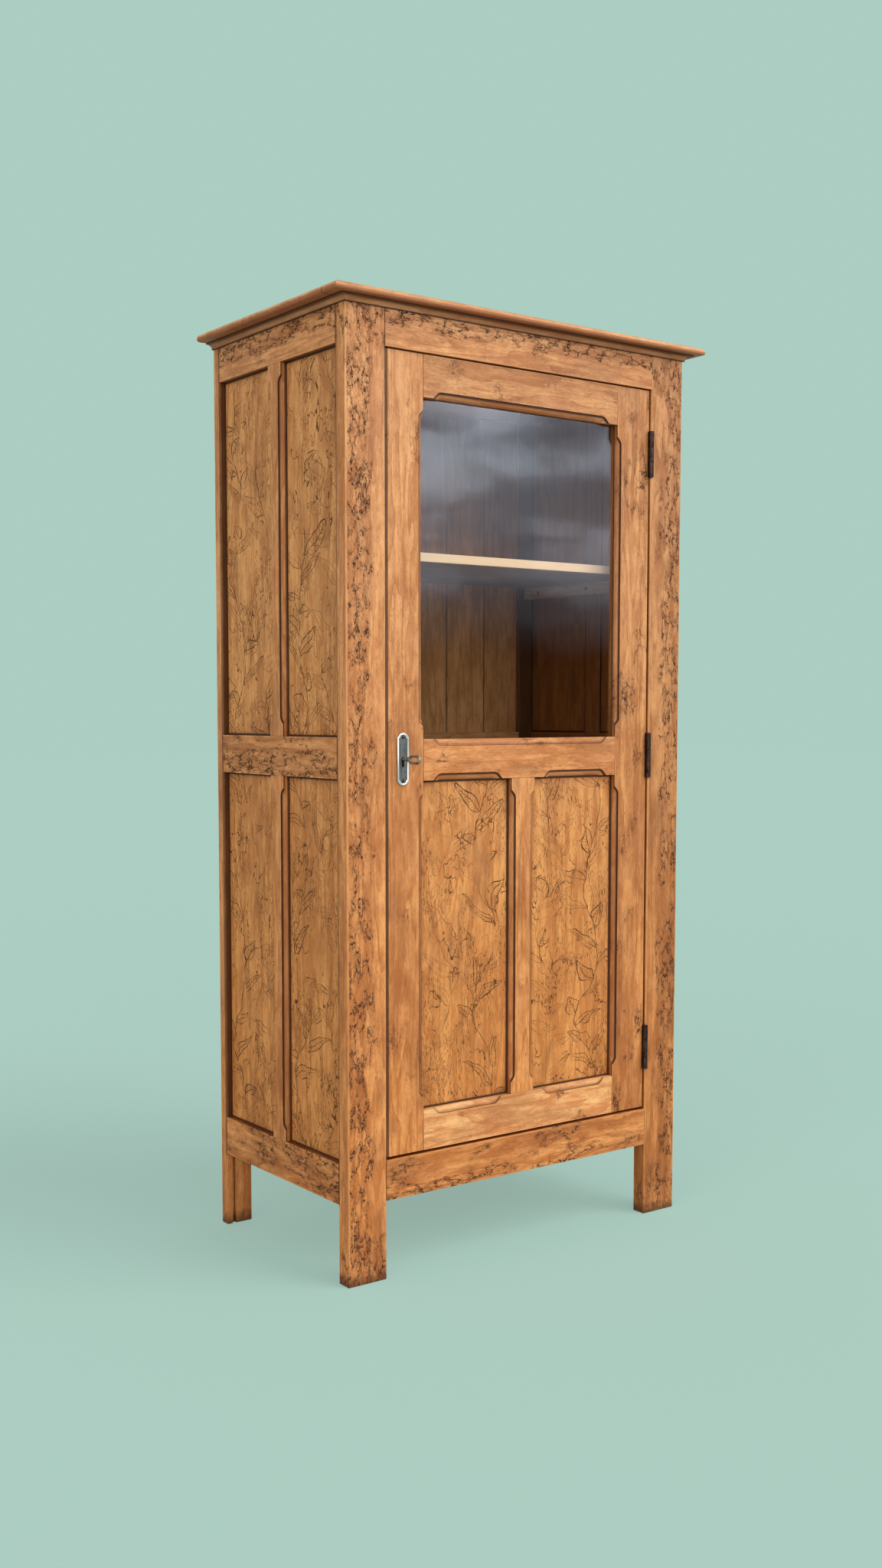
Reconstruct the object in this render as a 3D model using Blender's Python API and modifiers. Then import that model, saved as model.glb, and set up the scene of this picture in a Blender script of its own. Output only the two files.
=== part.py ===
"""A free-standing cupboard in joined beech, with one glazed door that locks.

Metres, +Z up. The front faces -Y, and left and right are as seen from the front, so right is +X.
The origin is on the floor, in the middle of the box that the whole object fills.
"""

import math

import bmesh
import bpy
from mathutils import Matrix, Vector

# Carcass: posts that run down as legs, and the rails between them
WIDTH = 0.793
DEPTH = 0.459
POST_HEIGHT = 1.711
FRONT_POST_WIDTH = 0.0815
FRONT_POST_DEPTH = 0.031
BACK_POST_WIDTH = 0.055
BACK_POST_DEPTH = 0.022
POST_EASE = 0.0015
FRONT_RAIL_THICKNESS = 0.024
SIDE_RAIL_THICKNESS = 0.022
BOTTOM_RAIL_Z = 0.143
BOTTOM_RAIL_HEIGHT = 0.073
MIDDLE_RAIL_Z = 0.896
MIDDLE_RAIL_HEIGHT = 0.072
TOP_RAIL_HEIGHT = 0.074
SIDE_MUNTIN_WIDTH = 0.044

# Panels in grooves, shared by the sides and the door
PANEL_THICKNESS = 0.008
PANEL_RECESS = 0.012
PANEL_INSERT = 0.007
GROOVE_DEPTH = 0.008

# Mortise and tenon joints
TENON_SHOULDER = 0.0105
SIDE_TENON_FRONT = 0.018
SIDE_TENON_BACK = 0.015
FRONT_TENON = 0.045
FRONT_TENON_THICKNESS = 0.009
BACK_TENON = 0.025
BACK_TENON_THICKNESS = 0.006
MUNTIN_TENON = 0.012

# Stopped moulding: a quirk, then a quarter round, run along an edge and out again before each joint
MOULDING_DEPTH = 0.010
MOULDING_QUIRK = 0.0025
STILE_MOULDING_WIDTH = 0.010
RAIL_MOULDING_WIDTH = 0.0125
STOP_DISTANCE = 0.022
STOP_ANGLE = math.radians(45)
STOP_STEPS = 4
MOULDING_STEPS = 6

# Back of vertical boards, bottom and shelf
BACK_BOARD_THICKNESS = 0.010
BACK_BOARD_WIDTH = 0.103
BACK_REBATE_WIDTH = 0.012
BOARD_JOINT_DEPTH = 0.002
BOTTOM_BOARD_THICKNESS = 0.015
BOTTOM_BOARD_DROP = 0.012
BOTTOM_TONGUE = 0.005
SHELF_TOP = 1.298
SHELF_THICKNESS = 0.016
SHELF_SETBACK = 0.055
CLEAT_WIDTH = 0.020
CLEAT_HEIGHT = 0.024

# Cornice: top boards with a thumbnail edge over a planted bed moulding
TOP_THICKNESS = 0.017
TOP_SIDE_OVERHANG = 0.035
TOP_FRONT_OVERHANG = 0.027
TOP_STRIP_DEPTH = 0.045
NOSING_RUN = 0.022
NOSING_RISE = 0.011
NOSING_UNDERCUT = 0.003
NOSING_STEPS = 8
UNDERCUT_STEPS = 2
BED_HEIGHT = 0.011
BED_PROJECTION = 0.016
BED_FOOT = 0.0035
BED_FILLET = 0.0018
BED_STEPS = 7

# Door
DOOR_SIDE_GAP = 0.0025
DOOR_TOP_GAP = 0.002
DOOR_BOTTOM_GAP = 0.004
DOOR_RECESS = 0.005
DOOR_THICKNESS = 0.024
DOOR_STILE_WIDTH = 0.082
DOOR_RAIL_HEIGHT = 0.074
DOOR_MIDDLE_RAIL_Z = 0.890
DOOR_MUNTIN_WIDTH = 0.055
DOOR_TENON = 0.036
GLASS_THICKNESS = 0.003
GLASS_REBATE = 0.009
GLASS_INSET = 0.0125
BEAD_WIDTH = 0.0085
BEAD_EASE = 0.0017

# Hinges
HINGE_LENGTH = 0.088
HINGE_INSET = 0.1225
KNUCKLE_RADIUS = 0.005
KNUCKLES = 3
PIN_RADIUS = 0.0025
LEAF_THICKNESS = 0.002
LEAF_WIDTH = 0.022
HINGE_STAND_OUT = 0.001

# Lock and key
KEY_BACKSET = 0.037
KEY_RISE = 0.039
KEY_STAND_OUT = 0.054
SHANK_RADIUS = 0.003
COLLAR_RADIUS = 0.0042
COLLAR_LENGTH = 0.003
BOW_LENGTH = 0.036
BOW_HEIGHT = 0.018
BOW_WIRE_RADIUS = 0.0021
BOW_STEPS = 20
BIT_REACH = 0.0125
BIT_WIDTH = 0.005
BIT_THICKNESS = 0.003
BIT_GRIP = 0.0035
BIT_CLEARANCE = 0.0009
ESCUTCHEON_WIDTH = 0.024
ESCUTCHEON_HEIGHT = 0.092
ESCUTCHEON_THICKNESS = 0.0018
ESCUTCHEON_SHOULDER = 0.0024
ESCUTCHEON_CROWN = 0.0055
ESCUTCHEON_RIM = 0.0032
ESCUTCHEON_SINK = 0.0006
CROWN_STEPS = 8
KEYHOLE_RADIUS = 0.0042
KEYHOLE_DROP = 0.0135
KEYHOLE_SLOT = 0.0046
CASE_WIDTH = 0.064
CASE_HEIGHT = 0.074
CASE_DEPTH = 0.015
CASE_WALL = 0.0016
BOLT_THROW = 0.012
BOLT_THICKNESS = 0.006
BOLT_HEIGHT = 0.014
BOLT_LENGTH = 0.060
BOLT_NOTCH = 0.024

# Working clearances
FIT = 0.0003
EASE = 0.0006
OVERRUN = 0.002
ROUND_SIDES = 16
WELD = 1e-6
SHARP_ANGLE = math.radians(40)

# Places worked out from the sizes above
LEFT, RIGHT = -WIDTH / 2, WIDTH / 2
KEY_REACH = KEY_STAND_OUT - DOOR_RECESS
FRONT = (KEY_REACH - DEPTH) / 2
BACK = FRONT + DEPTH
FRONT_POST_BACK = FRONT + FRONT_POST_DEPTH
BACK_POST_FRONT = BACK - BACK_POST_DEPTH
OPENING_HALF = WIDTH / 2 - FRONT_POST_WIDTH
BACK_OPENING_HALF = WIDTH / 2 - BACK_POST_WIDTH
BOTTOM_RAIL_TOP = BOTTOM_RAIL_Z + BOTTOM_RAIL_HEIGHT
MIDDLE_RAIL_TOP = MIDDLE_RAIL_Z + MIDDLE_RAIL_HEIGHT
TOP_RAIL_Z = POST_HEIGHT - TOP_RAIL_HEIGHT
DOOR_HALF = OPENING_HALF - DOOR_SIDE_GAP
DOOR_BOTTOM = BOTTOM_RAIL_TOP + DOOR_BOTTOM_GAP
DOOR_TOP = TOP_RAIL_Z - DOOR_TOP_GAP
DOOR_FRONT = FRONT + DOOR_RECESS
DOOR_BACK = DOOR_FRONT + DOOR_THICKNESS
LIGHT_HALF = DOOR_HALF - DOOR_STILE_WIDTH
DOOR_BOTTOM_RAIL_TOP = DOOR_BOTTOM + DOOR_RAIL_HEIGHT
DOOR_MIDDLE_RAIL_TOP = DOOR_MIDDLE_RAIL_Z + DOOR_RAIL_HEIGHT
DOOR_TOP_RAIL_Z = DOOR_TOP - DOOR_RAIL_HEIGHT
HINGE_X = OPENING_HALF - DOOR_SIDE_GAP / 2
HINGE_Y = FRONT - HINGE_STAND_OUT
HINGE_MIDDLES = (
    ("bottom", DOOR_BOTTOM + HINGE_INSET),
    ("middle", DOOR_MIDDLE_RAIL_Z + DOOR_RAIL_HEIGHT / 2),
    ("top", DOOR_TOP - HINGE_INSET),
)
KEY_X = -DOOR_HALF + KEY_BACKSET
KEY_HEIGHT = DOOR_MIDDLE_RAIL_Z + KEY_RISE
SIDES = (("left", -1), ("right", 1))
INNER_FACE = WIDTH / 2 - SIDE_RAIL_THICKNESS

# Finishes: colour, roughness, metallic
BEECH = ("beech", (0.53, 0.29, 0.13), 0.45, 0.0)
BEECH_PANEL = ("beech_panel", (0.50, 0.28, 0.11), 0.48, 0.0)
PALE_WOOD = ("pale_wood", (0.66, 0.46, 0.28), 0.6, 0.0)
BACK_WOOD = ("back_wood", (0.36, 0.22, 0.11), 0.65, 0.0)
IRON = ("hinge_iron", (0.045, 0.038, 0.035), 0.5, 0.9)
STEEL = ("lock_steel", (0.17, 0.19, 0.19), 0.38, 0.9)
KEY_METAL = ("key_metal", (0.16, 0.12, 0.10), 0.4, 0.9)
GLASS = ("window_glass", (0.85, 0.88, 0.88), 0.05, 0.0)

for old in list(bpy.data.objects):
    bpy.data.objects.remove(old)
PARTS = bpy.data.collections.new("glass_door_cabinet")
CUTTERS = bpy.data.collections.new("cutters")
for collection in (PARTS, CUTTERS):
    bpy.context.scene.collection.children.link(collection)


def material_of(finish):
    """The finish's material, made the first time that it is asked for."""
    name, colour, roughness, metallic = finish
    material = bpy.data.materials.get(name)
    if material is None:
        material = bpy.data.materials.new(name)
        material.use_nodes = True
        shader = material.node_tree.nodes["Principled BSDF"]
        shader.inputs["Base Color"].default_value = (*colour, 1.0)
        shader.inputs["Roughness"].default_value = roughness
        shader.inputs["Metallic"].default_value = metallic
    return material


def finish_piece(obj, finish, carrier=None):
    """Puts a piece among the parts in its finish, and on the axis that carries it."""
    for owner in obj.users_collection:
        owner.objects.unlink(obj)
    PARTS.objects.link(obj)
    obj.data.materials.clear()
    obj.data.materials.append(material_of(finish))
    if carrier is not None:
        obj.parent = carrier
        obj.matrix_parent_inverse = Matrix.Translation(-AXIS_POINTS[carrier.name])
    return obj


def helper(obj):
    """Keeps a cutter or a tenon's core out of the finished object."""
    obj.hide_render = True
    obj.display_type = "WIRE"
    return obj


def object_of(name, shape):
    """A new helper object that holds the given shape."""
    mesh = bpy.data.meshes.new(name)
    shape.to_mesh(mesh)
    shape.free()
    obj = bpy.data.objects.new(name, mesh)
    CUTTERS.objects.link(obj)
    return helper(obj)


def shade_round(obj):
    """Shades a round shape smooth, apart from its sharp edges."""
    obj.data.shade_smooth()
    obj.data.set_sharp_from_angle(angle=SHARP_ANGLE)
    return obj


def box(name, one_corner, other_corner):
    """A helper box between two corners, with its origin in its middle."""
    low = Vector(map(min, one_corner, other_corner))
    high = Vector(map(max, one_corner, other_corner))
    shape = bmesh.new()
    bmesh.ops.create_cube(shape, size=1.0, matrix=Matrix.Diagonal((*(high - low), 1.0)))
    obj = object_of(name, shape)
    obj.location = (low + high) / 2
    return obj


def cylinder(name, radius, start, direction, length, sides=ROUND_SIDES):
    """A helper cylinder from a start point along a direction."""
    shape = bmesh.new()
    bmesh.ops.create_cone(
        shape, cap_ends=True, segments=sides, radius1=radius, radius2=radius, depth=length
    )
    obj = shade_round(object_of(name, shape))
    direction = Vector(direction).normalized()
    turn = direction.to_track_quat("Z", "Y").to_matrix().to_4x4()
    obj.matrix_world = Matrix.Translation(Vector(start) + direction * length / 2) @ turn
    return obj


def curve_object(name, points, cyclic, dimensions):
    """A helper curve through straight-joined points."""
    curve = bpy.data.curves.new(name, "CURVE")
    curve.dimensions = dimensions
    curve.twist_mode = "Z_UP"
    spline = curve.splines.new("POLY")
    spline.points.add(len(points) - 1)
    for slot, point in zip(spline.points, points):
        slot.co = (*point, 0.0, 1.0)
    spline.use_cyclic_u = cyclic
    obj = bpy.data.objects.new(name, curve)
    CUTTERS.objects.link(obj)
    return helper(obj)


def mesh_from_curve(obj, place):
    """The curve's solid as a mesh helper at a place, and the curve removed."""
    name = obj.name
    bpy.context.view_layer.update()
    graph = bpy.context.evaluated_depsgraph_get()
    mesh = bpy.data.meshes.new_from_object(obj.evaluated_get(graph))
    bpy.data.objects.remove(obj)
    shape = bmesh.new()
    shape.from_mesh(mesh)
    bmesh.ops.remove_doubles(shape, verts=shape.verts, dist=WELD)
    bmesh.ops.recalc_face_normals(shape, faces=shape.faces)
    bpy.data.meshes.remove(mesh)
    solid = shade_round(object_of(name, shape))
    solid.matrix_world = place
    return solid


def extruded(name, outline, thickness, place):
    """A flat outline in local XY, given a thickness upwards from local Z 0."""
    obj = curve_object(name, outline, True, "2D")
    obj.data.fill_mode = "BOTH"
    obj.data.extrude = thickness / 2
    return mesh_from_curve(obj, place @ Matrix.Translation((0, 0, thickness / 2)))


def arc(centre, radii, start, end, steps):
    """Points along an arc in a plane, with its angles in degrees."""
    points = []
    for step in range(steps + 1):
        angle = math.radians(start + (end - start) * step / steps)
        x = centre[0] + radii[0] * math.cos(angle)
        y = centre[1] + radii[1] * math.sin(angle)
        points.append((x, y))
    return points


def combine(obj, operation, tools):
    """Cuts the tools from an object, or joins them to it."""
    for tool in tools:
        modifier = obj.modifiers.new(tool.name, "BOOLEAN")
        modifier.operation = operation
        modifier.object = tool


def cut(obj, *tools):
    combine(obj, "DIFFERENCE", tools)


def fuse(obj, *tools):
    combine(obj, "UNION", tools)


def board(name, one_corner, other_corner, finish, carrier=None, ease=EASE):
    """A board between two corners, with its edges eased."""
    obj = finish_piece(box(name, one_corner, other_corner), finish, carrier)
    obj.hide_render = False
    obj.display_type = "TEXTURED"
    bevel = obj.modifiers.new("eased_edges", "BEVEL")
    bevel.width = ease
    bevel.segments = 1
    bevel.limit_method = "NONE"
    return obj


def piece(obj, finish, carrier=None):
    """Turns a helper into a finished piece."""
    obj.hide_render = False
    obj.display_type = "TEXTURED"
    return finish_piece(obj, finish, carrier)


def grown(name, one_corner, other_corner, by):
    """A helper box that is larger than the one between two corners, by an amount on each axis."""
    by = Vector(by)
    low = Vector(map(min, one_corner, other_corner)) - by
    high = Vector(map(max, one_corner, other_corner)) + by
    return box(name, low, high)


def tenoned(rail, core_start, core_end, mortised):
    """Runs a core through a rail to stand out as tenons, and cuts the mortises that take them."""
    fuse(rail, box(rail.name + "_core", core_start, core_end))
    mortise = grown(rail.name + "_mortise", core_start, core_end, (FIT, FIT, FIT))
    for post in mortised:
        cut(post, mortise)


def stopped_moulding(name, length, width, middle, into_wood, outward):
    """A cutter for a moulding that runs out through the edge, clear of the joint, at both its ends.

    The edge that is moulded runs through the middle point. The lengthwise path is the line where the
    moulding meets the face: straight, and bent out across the edge at each end.
    """
    reach = width + OVERRUN
    bend = reach + OVERRUN / 2
    path = []
    for step in range(STOP_STEPS + 1):
        turn = STOP_ANGLE * step / STOP_STEPS
        path.append((bend * math.sin(turn), width - bend * (1 - math.cos(turn))))
    slope = math.tan(STOP_ANGLE)
    crossing = path[-1][0] + path[-1][1] / slope
    path.append((crossing + OVERRUN / slope, -OVERRUN))
    half = [(length / 2 - crossing + along, across) for along, across in path]
    line = [(-along, across) for along, across in reversed(half)] + half
    profile = [(0.0, OVERRUN), (0.0, -MOULDING_QUIRK)]
    radii = (width, MOULDING_DEPTH - MOULDING_QUIRK)
    round_over = arc((0.0, -MOULDING_DEPTH), radii, 90, 0, MOULDING_STEPS)
    profile += [(max(x, 0.0), y) for x, y in round_over[1:]]
    profile += [(reach, -MOULDING_DEPTH), (reach, OVERRUN)]
    section = curve_object(name + "_section", profile, True, "2D")
    route = curve_object(name, line, False, "3D")
    route.data.bevel_mode = "OBJECT"
    route.data.bevel_object = section
    route.data.use_fill_caps = True
    into_wood, outward = Vector(into_wood), Vector(outward)
    along = into_wood.cross(outward)
    turn = Matrix((along, into_wood, outward)).transposed().to_4x4()
    solid = mesh_from_curve(route, Matrix.Translation(middle) @ turn)
    bpy.data.objects.remove(section)
    return solid


def add_posts():
    """Four posts, each with the side panels' groove run through its whole length."""
    posts = {}
    for word, side in SIDES:
        outer = side * WIDTH / 2
        for row, width, depth, face, inward in (
            ("front", FRONT_POST_WIDTH, FRONT_POST_DEPTH, FRONT_POST_BACK, -1),
            ("back", BACK_POST_WIDTH, BACK_POST_DEPTH, BACK_POST_FRONT, 1),
        ):
            name = f"post_{row}_{word}"
            start = (outer, face, 0.0)
            end = (outer - side * width, face + inward * depth, POST_HEIGHT)
            post = board(name, start, end, BEECH, ease=POST_EASE)
            groove = box(
                name + "_groove",
                (outer - side * (PANEL_RECESS - FIT), face - inward * OVERRUN, -OVERRUN),
                (
                    outer - side * (PANEL_RECESS + PANEL_THICKNESS + FIT),
                    face + inward * GROOVE_DEPTH,
                    POST_HEIGHT + OVERRUN,
                ),
            )
            cut(post, groove)
            posts[row, word] = post
    return posts


def add_side_frames(posts):
    """On each side three rails, two muntins with stopped mouldings, and four flat panels."""
    muntin_y = (FRONT_POST_BACK + BACK_POST_FRONT) / 2
    muntin_half = SIDE_MUNTIN_WIDTH / 2
    levels = (
        ("bottom", BOTTOM_RAIL_Z, BOTTOM_RAIL_TOP),
        ("middle", MIDDLE_RAIL_Z, MIDDLE_RAIL_TOP),
        ("top", TOP_RAIL_Z, POST_HEIGHT),
    )
    bays = (("lower", BOTTOM_RAIL_TOP, MIDDLE_RAIL_Z), ("upper", MIDDLE_RAIL_TOP, TOP_RAIL_Z))
    for word, side in SIDES:
        outer = side * WIDTH / 2
        inner = outer - side * SIDE_RAIL_THICKNESS
        panel_out = outer - side * PANEL_RECESS
        panel_in = panel_out - side * PANEL_THICKNESS
        rails = []
        for level, bottom, top in levels:
            rail = board(
                f"side_{word}_rail_{level}",
                (outer, FRONT_POST_BACK + FIT, bottom),
                (inner, BACK_POST_FRONT - FIT, top),
                BEECH,
            )
            tenoned(
                rail,
                (panel_out, FRONT_POST_BACK - SIDE_TENON_FRONT, bottom + TENON_SHOULDER),
                (panel_in, BACK_POST_FRONT + SIDE_TENON_BACK, top - TENON_SHOULDER),
                (posts["front", word], posts["back", word]),
            )
            rails.append(rail)
        for index, (bay, bottom, top) in enumerate(bays):
            muntin = board(
                f"side_{word}_muntin_{bay}",
                (outer, muntin_y - muntin_half, bottom + FIT),
                (inner, muntin_y + muntin_half, top - FIT),
                BEECH,
            )
            tenon_half = muntin_half - TENON_SHOULDER
            tenoned(
                muntin,
                (panel_out, muntin_y - tenon_half, bottom - MUNTIN_TENON),
                (panel_in, muntin_y + tenon_half, top + MUNTIN_TENON),
                rails[index : index + 2],
            )
            for edge in (-1, 1):
                cutter = stopped_moulding(
                    f"{muntin.name}_moulding_{edge}",
                    top - bottom - 2 * STOP_DISTANCE,
                    STILE_MOULDING_WIDTH,
                    (outer, muntin_y + edge * muntin_half, (bottom + top) / 2),
                    (0, -edge, 0),
                    (side, 0, 0),
                )
                cut(muntin, cutter)
            for row, start, end in (
                ("front", FRONT_POST_BACK, muntin_y - muntin_half),
                ("back", muntin_y + muntin_half, BACK_POST_FRONT),
            ):
                low = (panel_in, start - PANEL_INSERT, bottom - PANEL_INSERT)
                high = (panel_out, end + PANEL_INSERT, top + PANEL_INSERT)
                panel = board(f"side_{word}_panel_{bay}_{row}", low, high, BEECH_PANEL)
                slack = GROOVE_DEPTH - PANEL_INSERT
                groove = grown(panel.name + "_groove", low, high, (FIT, slack, slack))
                for holder in (*rails[index : index + 2], muntin):
                    cut(holder, groove)


def add_front_rails(posts):
    """The rails over and under the door."""
    rails = {}
    for level, bottom, top in (
        ("bottom", BOTTOM_RAIL_Z, BOTTOM_RAIL_TOP),
        ("top", TOP_RAIL_Z, POST_HEIGHT),
    ):
        rail = board(
            f"front_rail_{level}",
            (-OPENING_HALF + FIT, FRONT, bottom),
            (OPENING_HALF - FIT, FRONT + FRONT_RAIL_THICKNESS, top),
            BEECH,
        )
        middle = FRONT + FRONT_RAIL_THICKNESS / 2
        reach = OPENING_HALF + FRONT_TENON
        tenoned(
            rail,
            (-reach, middle - FRONT_TENON_THICKNESS / 2, bottom + TENON_SHOULDER),
            (reach, middle + FRONT_TENON_THICKNESS / 2, top - TENON_SHOULDER),
            (posts["front", "left"], posts["front", "right"]),
        )
        rails[level] = rail
    return rails


def add_back(posts):
    """Three thin back rails, and vertical boards let into rebates behind them."""
    boards_front = BACK - BACK_BOARD_THICKNESS
    rails = {}
    for level, bottom, top in (
        ("bottom", BOTTOM_RAIL_Z, BOTTOM_RAIL_TOP),
        ("middle", MIDDLE_RAIL_Z, MIDDLE_RAIL_TOP),
        ("top", TOP_RAIL_Z, POST_HEIGHT),
    ):
        rail = board(
            f"back_rail_{level}",
            (-BACK_OPENING_HALF + FIT, BACK_POST_FRONT, bottom),
            (BACK_OPENING_HALF - FIT, boards_front - FIT, top),
            BACK_WOOD,
        )
        middle = (BACK_POST_FRONT + boards_front) / 2
        reach = BACK_OPENING_HALF + BACK_TENON
        tenoned(
            rail,
            (-reach, middle - BACK_TENON_THICKNESS / 2, bottom + TENON_SHOULDER),
            (reach, middle + BACK_TENON_THICKNESS / 2, top - TENON_SHOULDER),
            (posts["back", "left"], posts["back", "right"]),
        )
        rails[level] = rail
    half = BACK_OPENING_HALF + BACK_REBATE_WIDTH
    for word, side in SIDES:
        rebate = box(
            f"back_rebate_{word}",
            (side * (BACK_OPENING_HALF - OVERRUN), boards_front, BOTTOM_RAIL_Z - FIT),
            (side * half, BACK + OVERRUN, POST_HEIGHT + OVERRUN),
        )
        cut(posts["back", word], rebate)
    boards = board(
        "back_boards",
        (-half + FIT, boards_front + FIT, BOTTOM_RAIL_Z),
        (half - FIT, BACK, POST_HEIGHT),
        BACK_WOOD,
    )
    count = round(2 * half / BACK_BOARD_WIDTH)
    for index in range(1, count):
        x = -half + 2 * half * index / count
        for face, outward in ((boards_front + FIT, -1), (BACK, 1)):
            half_side = (BOARD_JOINT_DEPTH + OVERRUN) / math.sqrt(2)
            notch = box(
                f"board_joint_{index}",
                (-half_side, -half_side, BOTTOM_RAIL_Z - OVERRUN),
                (half_side, half_side, POST_HEIGHT + OVERRUN),
            )
            notch.location.x = x
            notch.location.y = face + outward * OVERRUN
            notch.rotation_euler.z = math.radians(45)
            cut(boards, notch)
    return rails


def add_inside(front_rails, back_rails):
    """The bottom, tongued into the front and back rails, and a shelf on two cleats."""
    top = BOTTOM_RAIL_TOP - BOTTOM_BOARD_DROP
    bottom = top - BOTTOM_BOARD_THICKNESS
    floor = board(
        "bottom_board",
        (-INNER_FACE + FIT, FRONT_POST_BACK + FIT, bottom),
        (INNER_FACE - FIT, BACK_POST_FRONT - FIT, top),
        PALE_WOOD,
    )
    front_face = FRONT + FRONT_RAIL_THICKNESS
    back_face = BACK_POST_FRONT
    for rail, half, start, end in (
        (front_rails["bottom"], OPENING_HALF, FRONT_POST_BACK + OVERRUN, front_face - BOTTOM_TONGUE),
        (back_rails["bottom"], BACK_OPENING_HALF, back_face - OVERRUN, back_face + BOTTOM_TONGUE),
    ):
        one = (-half + FIT, start, bottom)
        other = (half - FIT, end, top)
        tongue = box(rail.name + "_tongue", one, other)
        fuse(floor, tongue)
        cut(rail, grown(rail.name + "_tongue_groove", one, other, (2 * FIT, FIT, FIT)))
    shelf_bottom = SHELF_TOP - SHELF_THICKNESS
    board(
        "shelf",
        (-INNER_FACE + FIT, FRONT + SHELF_SETBACK, shelf_bottom),
        (INNER_FACE - FIT, BACK_POST_FRONT - FIT, SHELF_TOP),
        PALE_WOOD,
    )
    for word, side in SIDES:
        board(
            f"shelf_cleat_{word}",
            (side * (INNER_FACE - FIT), FRONT_POST_BACK + FIT, shelf_bottom - FIT - CLEAT_HEIGHT),
            (side * (INNER_FACE - CLEAT_WIDTH), BACK_POST_FRONT - FIT, shelf_bottom - FIT),
            PALE_WOOD,
        )


def add_bed_moulding():
    """Three lengths of cove planted under the top, mitred at the front corners."""
    bottom = POST_HEIGHT - BED_HEIGHT
    cove_top = POST_HEIGHT - BED_FILLET
    cove_bottom = bottom + BED_FILLET
    shoulder = BED_PROJECTION - BED_FILLET / 2
    radii = (shoulder - BED_FOOT, cove_top - cove_bottom)
    cove = arc((shoulder, cove_bottom), radii, 180, 90, BED_STEPS)
    top = POST_HEIGHT - FIT
    section = [(FIT, bottom), (BED_FOOT, bottom)] + cove
    section += [(BED_PROJECTION, cove_top), (BED_PROJECTION, top), (FIT, top)]
    runs = (
        ("front", (-1, 0, 0), (0, -1, 0), (0, FRONT, 0), WIDTH / 2, WIDTH / 2),
        ("left", (0, 1, 0), (-1, 0, 0), (LEFT, FRONT, 0), 0.0, DEPTH),
        ("right", (0, -1, 0), (1, 0, 0), (RIGHT, FRONT, 0), DEPTH, 0.0),
    )
    for word, along, outward, origin, before, after in runs:
        turn = Matrix((Vector(outward), (0, 0, 1), Vector(outward).cross((0, 0, 1)))).transposed()
        length = before + after
        place = Matrix.Translation(origin) @ turn.to_4x4()
        bed = extruded(f"bed_moulding_{word}", section, length, place)
        sense = round(Vector(along).dot(Vector(outward).cross((0, 0, 1))))
        for vertex in bed.data.vertices:
            at_far_end = (vertex.co.z > 0) == (sense > 0)
            run = after if at_far_end else before
            mitre = vertex.co.x - FIT if run != DEPTH else 0.0
            vertex.co.z = sense * (run + mitre) * (1 if at_far_end else -1)
        bed.matrix_world = place
        piece(bed, BEECH)


def add_top():
    """The top in two boards, a strip along the front and the rest behind it, with thumbnail edges."""
    strip_front = FRONT - TOP_FRONT_OVERHANG
    strip_back = strip_front + TOP_STRIP_DEPTH
    half = WIDTH / 2 + TOP_SIDE_OVERHANG
    stretch = NOSING_RUN / NOSING_RISE
    for name, front, back, has_front_nosing in (
        ("top_front_strip", strip_front, strip_back - FIT, True),
        ("top_board", strip_back, BACK, False),
    ):
        tall = TOP_THICKNESS * stretch
        top = box(name, (-half, front, POST_HEIGHT), (half, back, POST_HEIGHT + tall))
        shape = bmesh.new()
        shape.from_mesh(top.data)
        for is_upper, width, segments in (
            (True, NOSING_RUN, NOSING_STEPS),
            (False, NOSING_UNDERCUT * stretch, UNDERCUT_STEPS),
        ):
            edges = []
            for edge in shape.edges:
                middle = (edge.verts[0].co + edge.verts[1].co) / 2
                at_level = abs(middle.z - (tall / 2 if is_upper else -tall / 2)) < EASE
                at_end = abs(abs(middle.x) - half) < EASE
                at_front = has_front_nosing and abs(middle.y + (back - front) / 2) < EASE
                if at_level and (at_end or at_front):
                    edges.append(edge)
            bmesh.ops.bevel(
                shape, geom=edges, offset=width, segments=segments, profile=0.5, affect="EDGES"
            )
        bmesh.ops.scale(shape, vec=(1, 1, 1 / stretch), verts=shape.verts)
        shape.to_mesh(top.data)
        shape.free()
        top.location.z = POST_HEIGHT + FIT + TOP_THICKNESS / 2
        piece(shade_round(top), BEECH)


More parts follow.
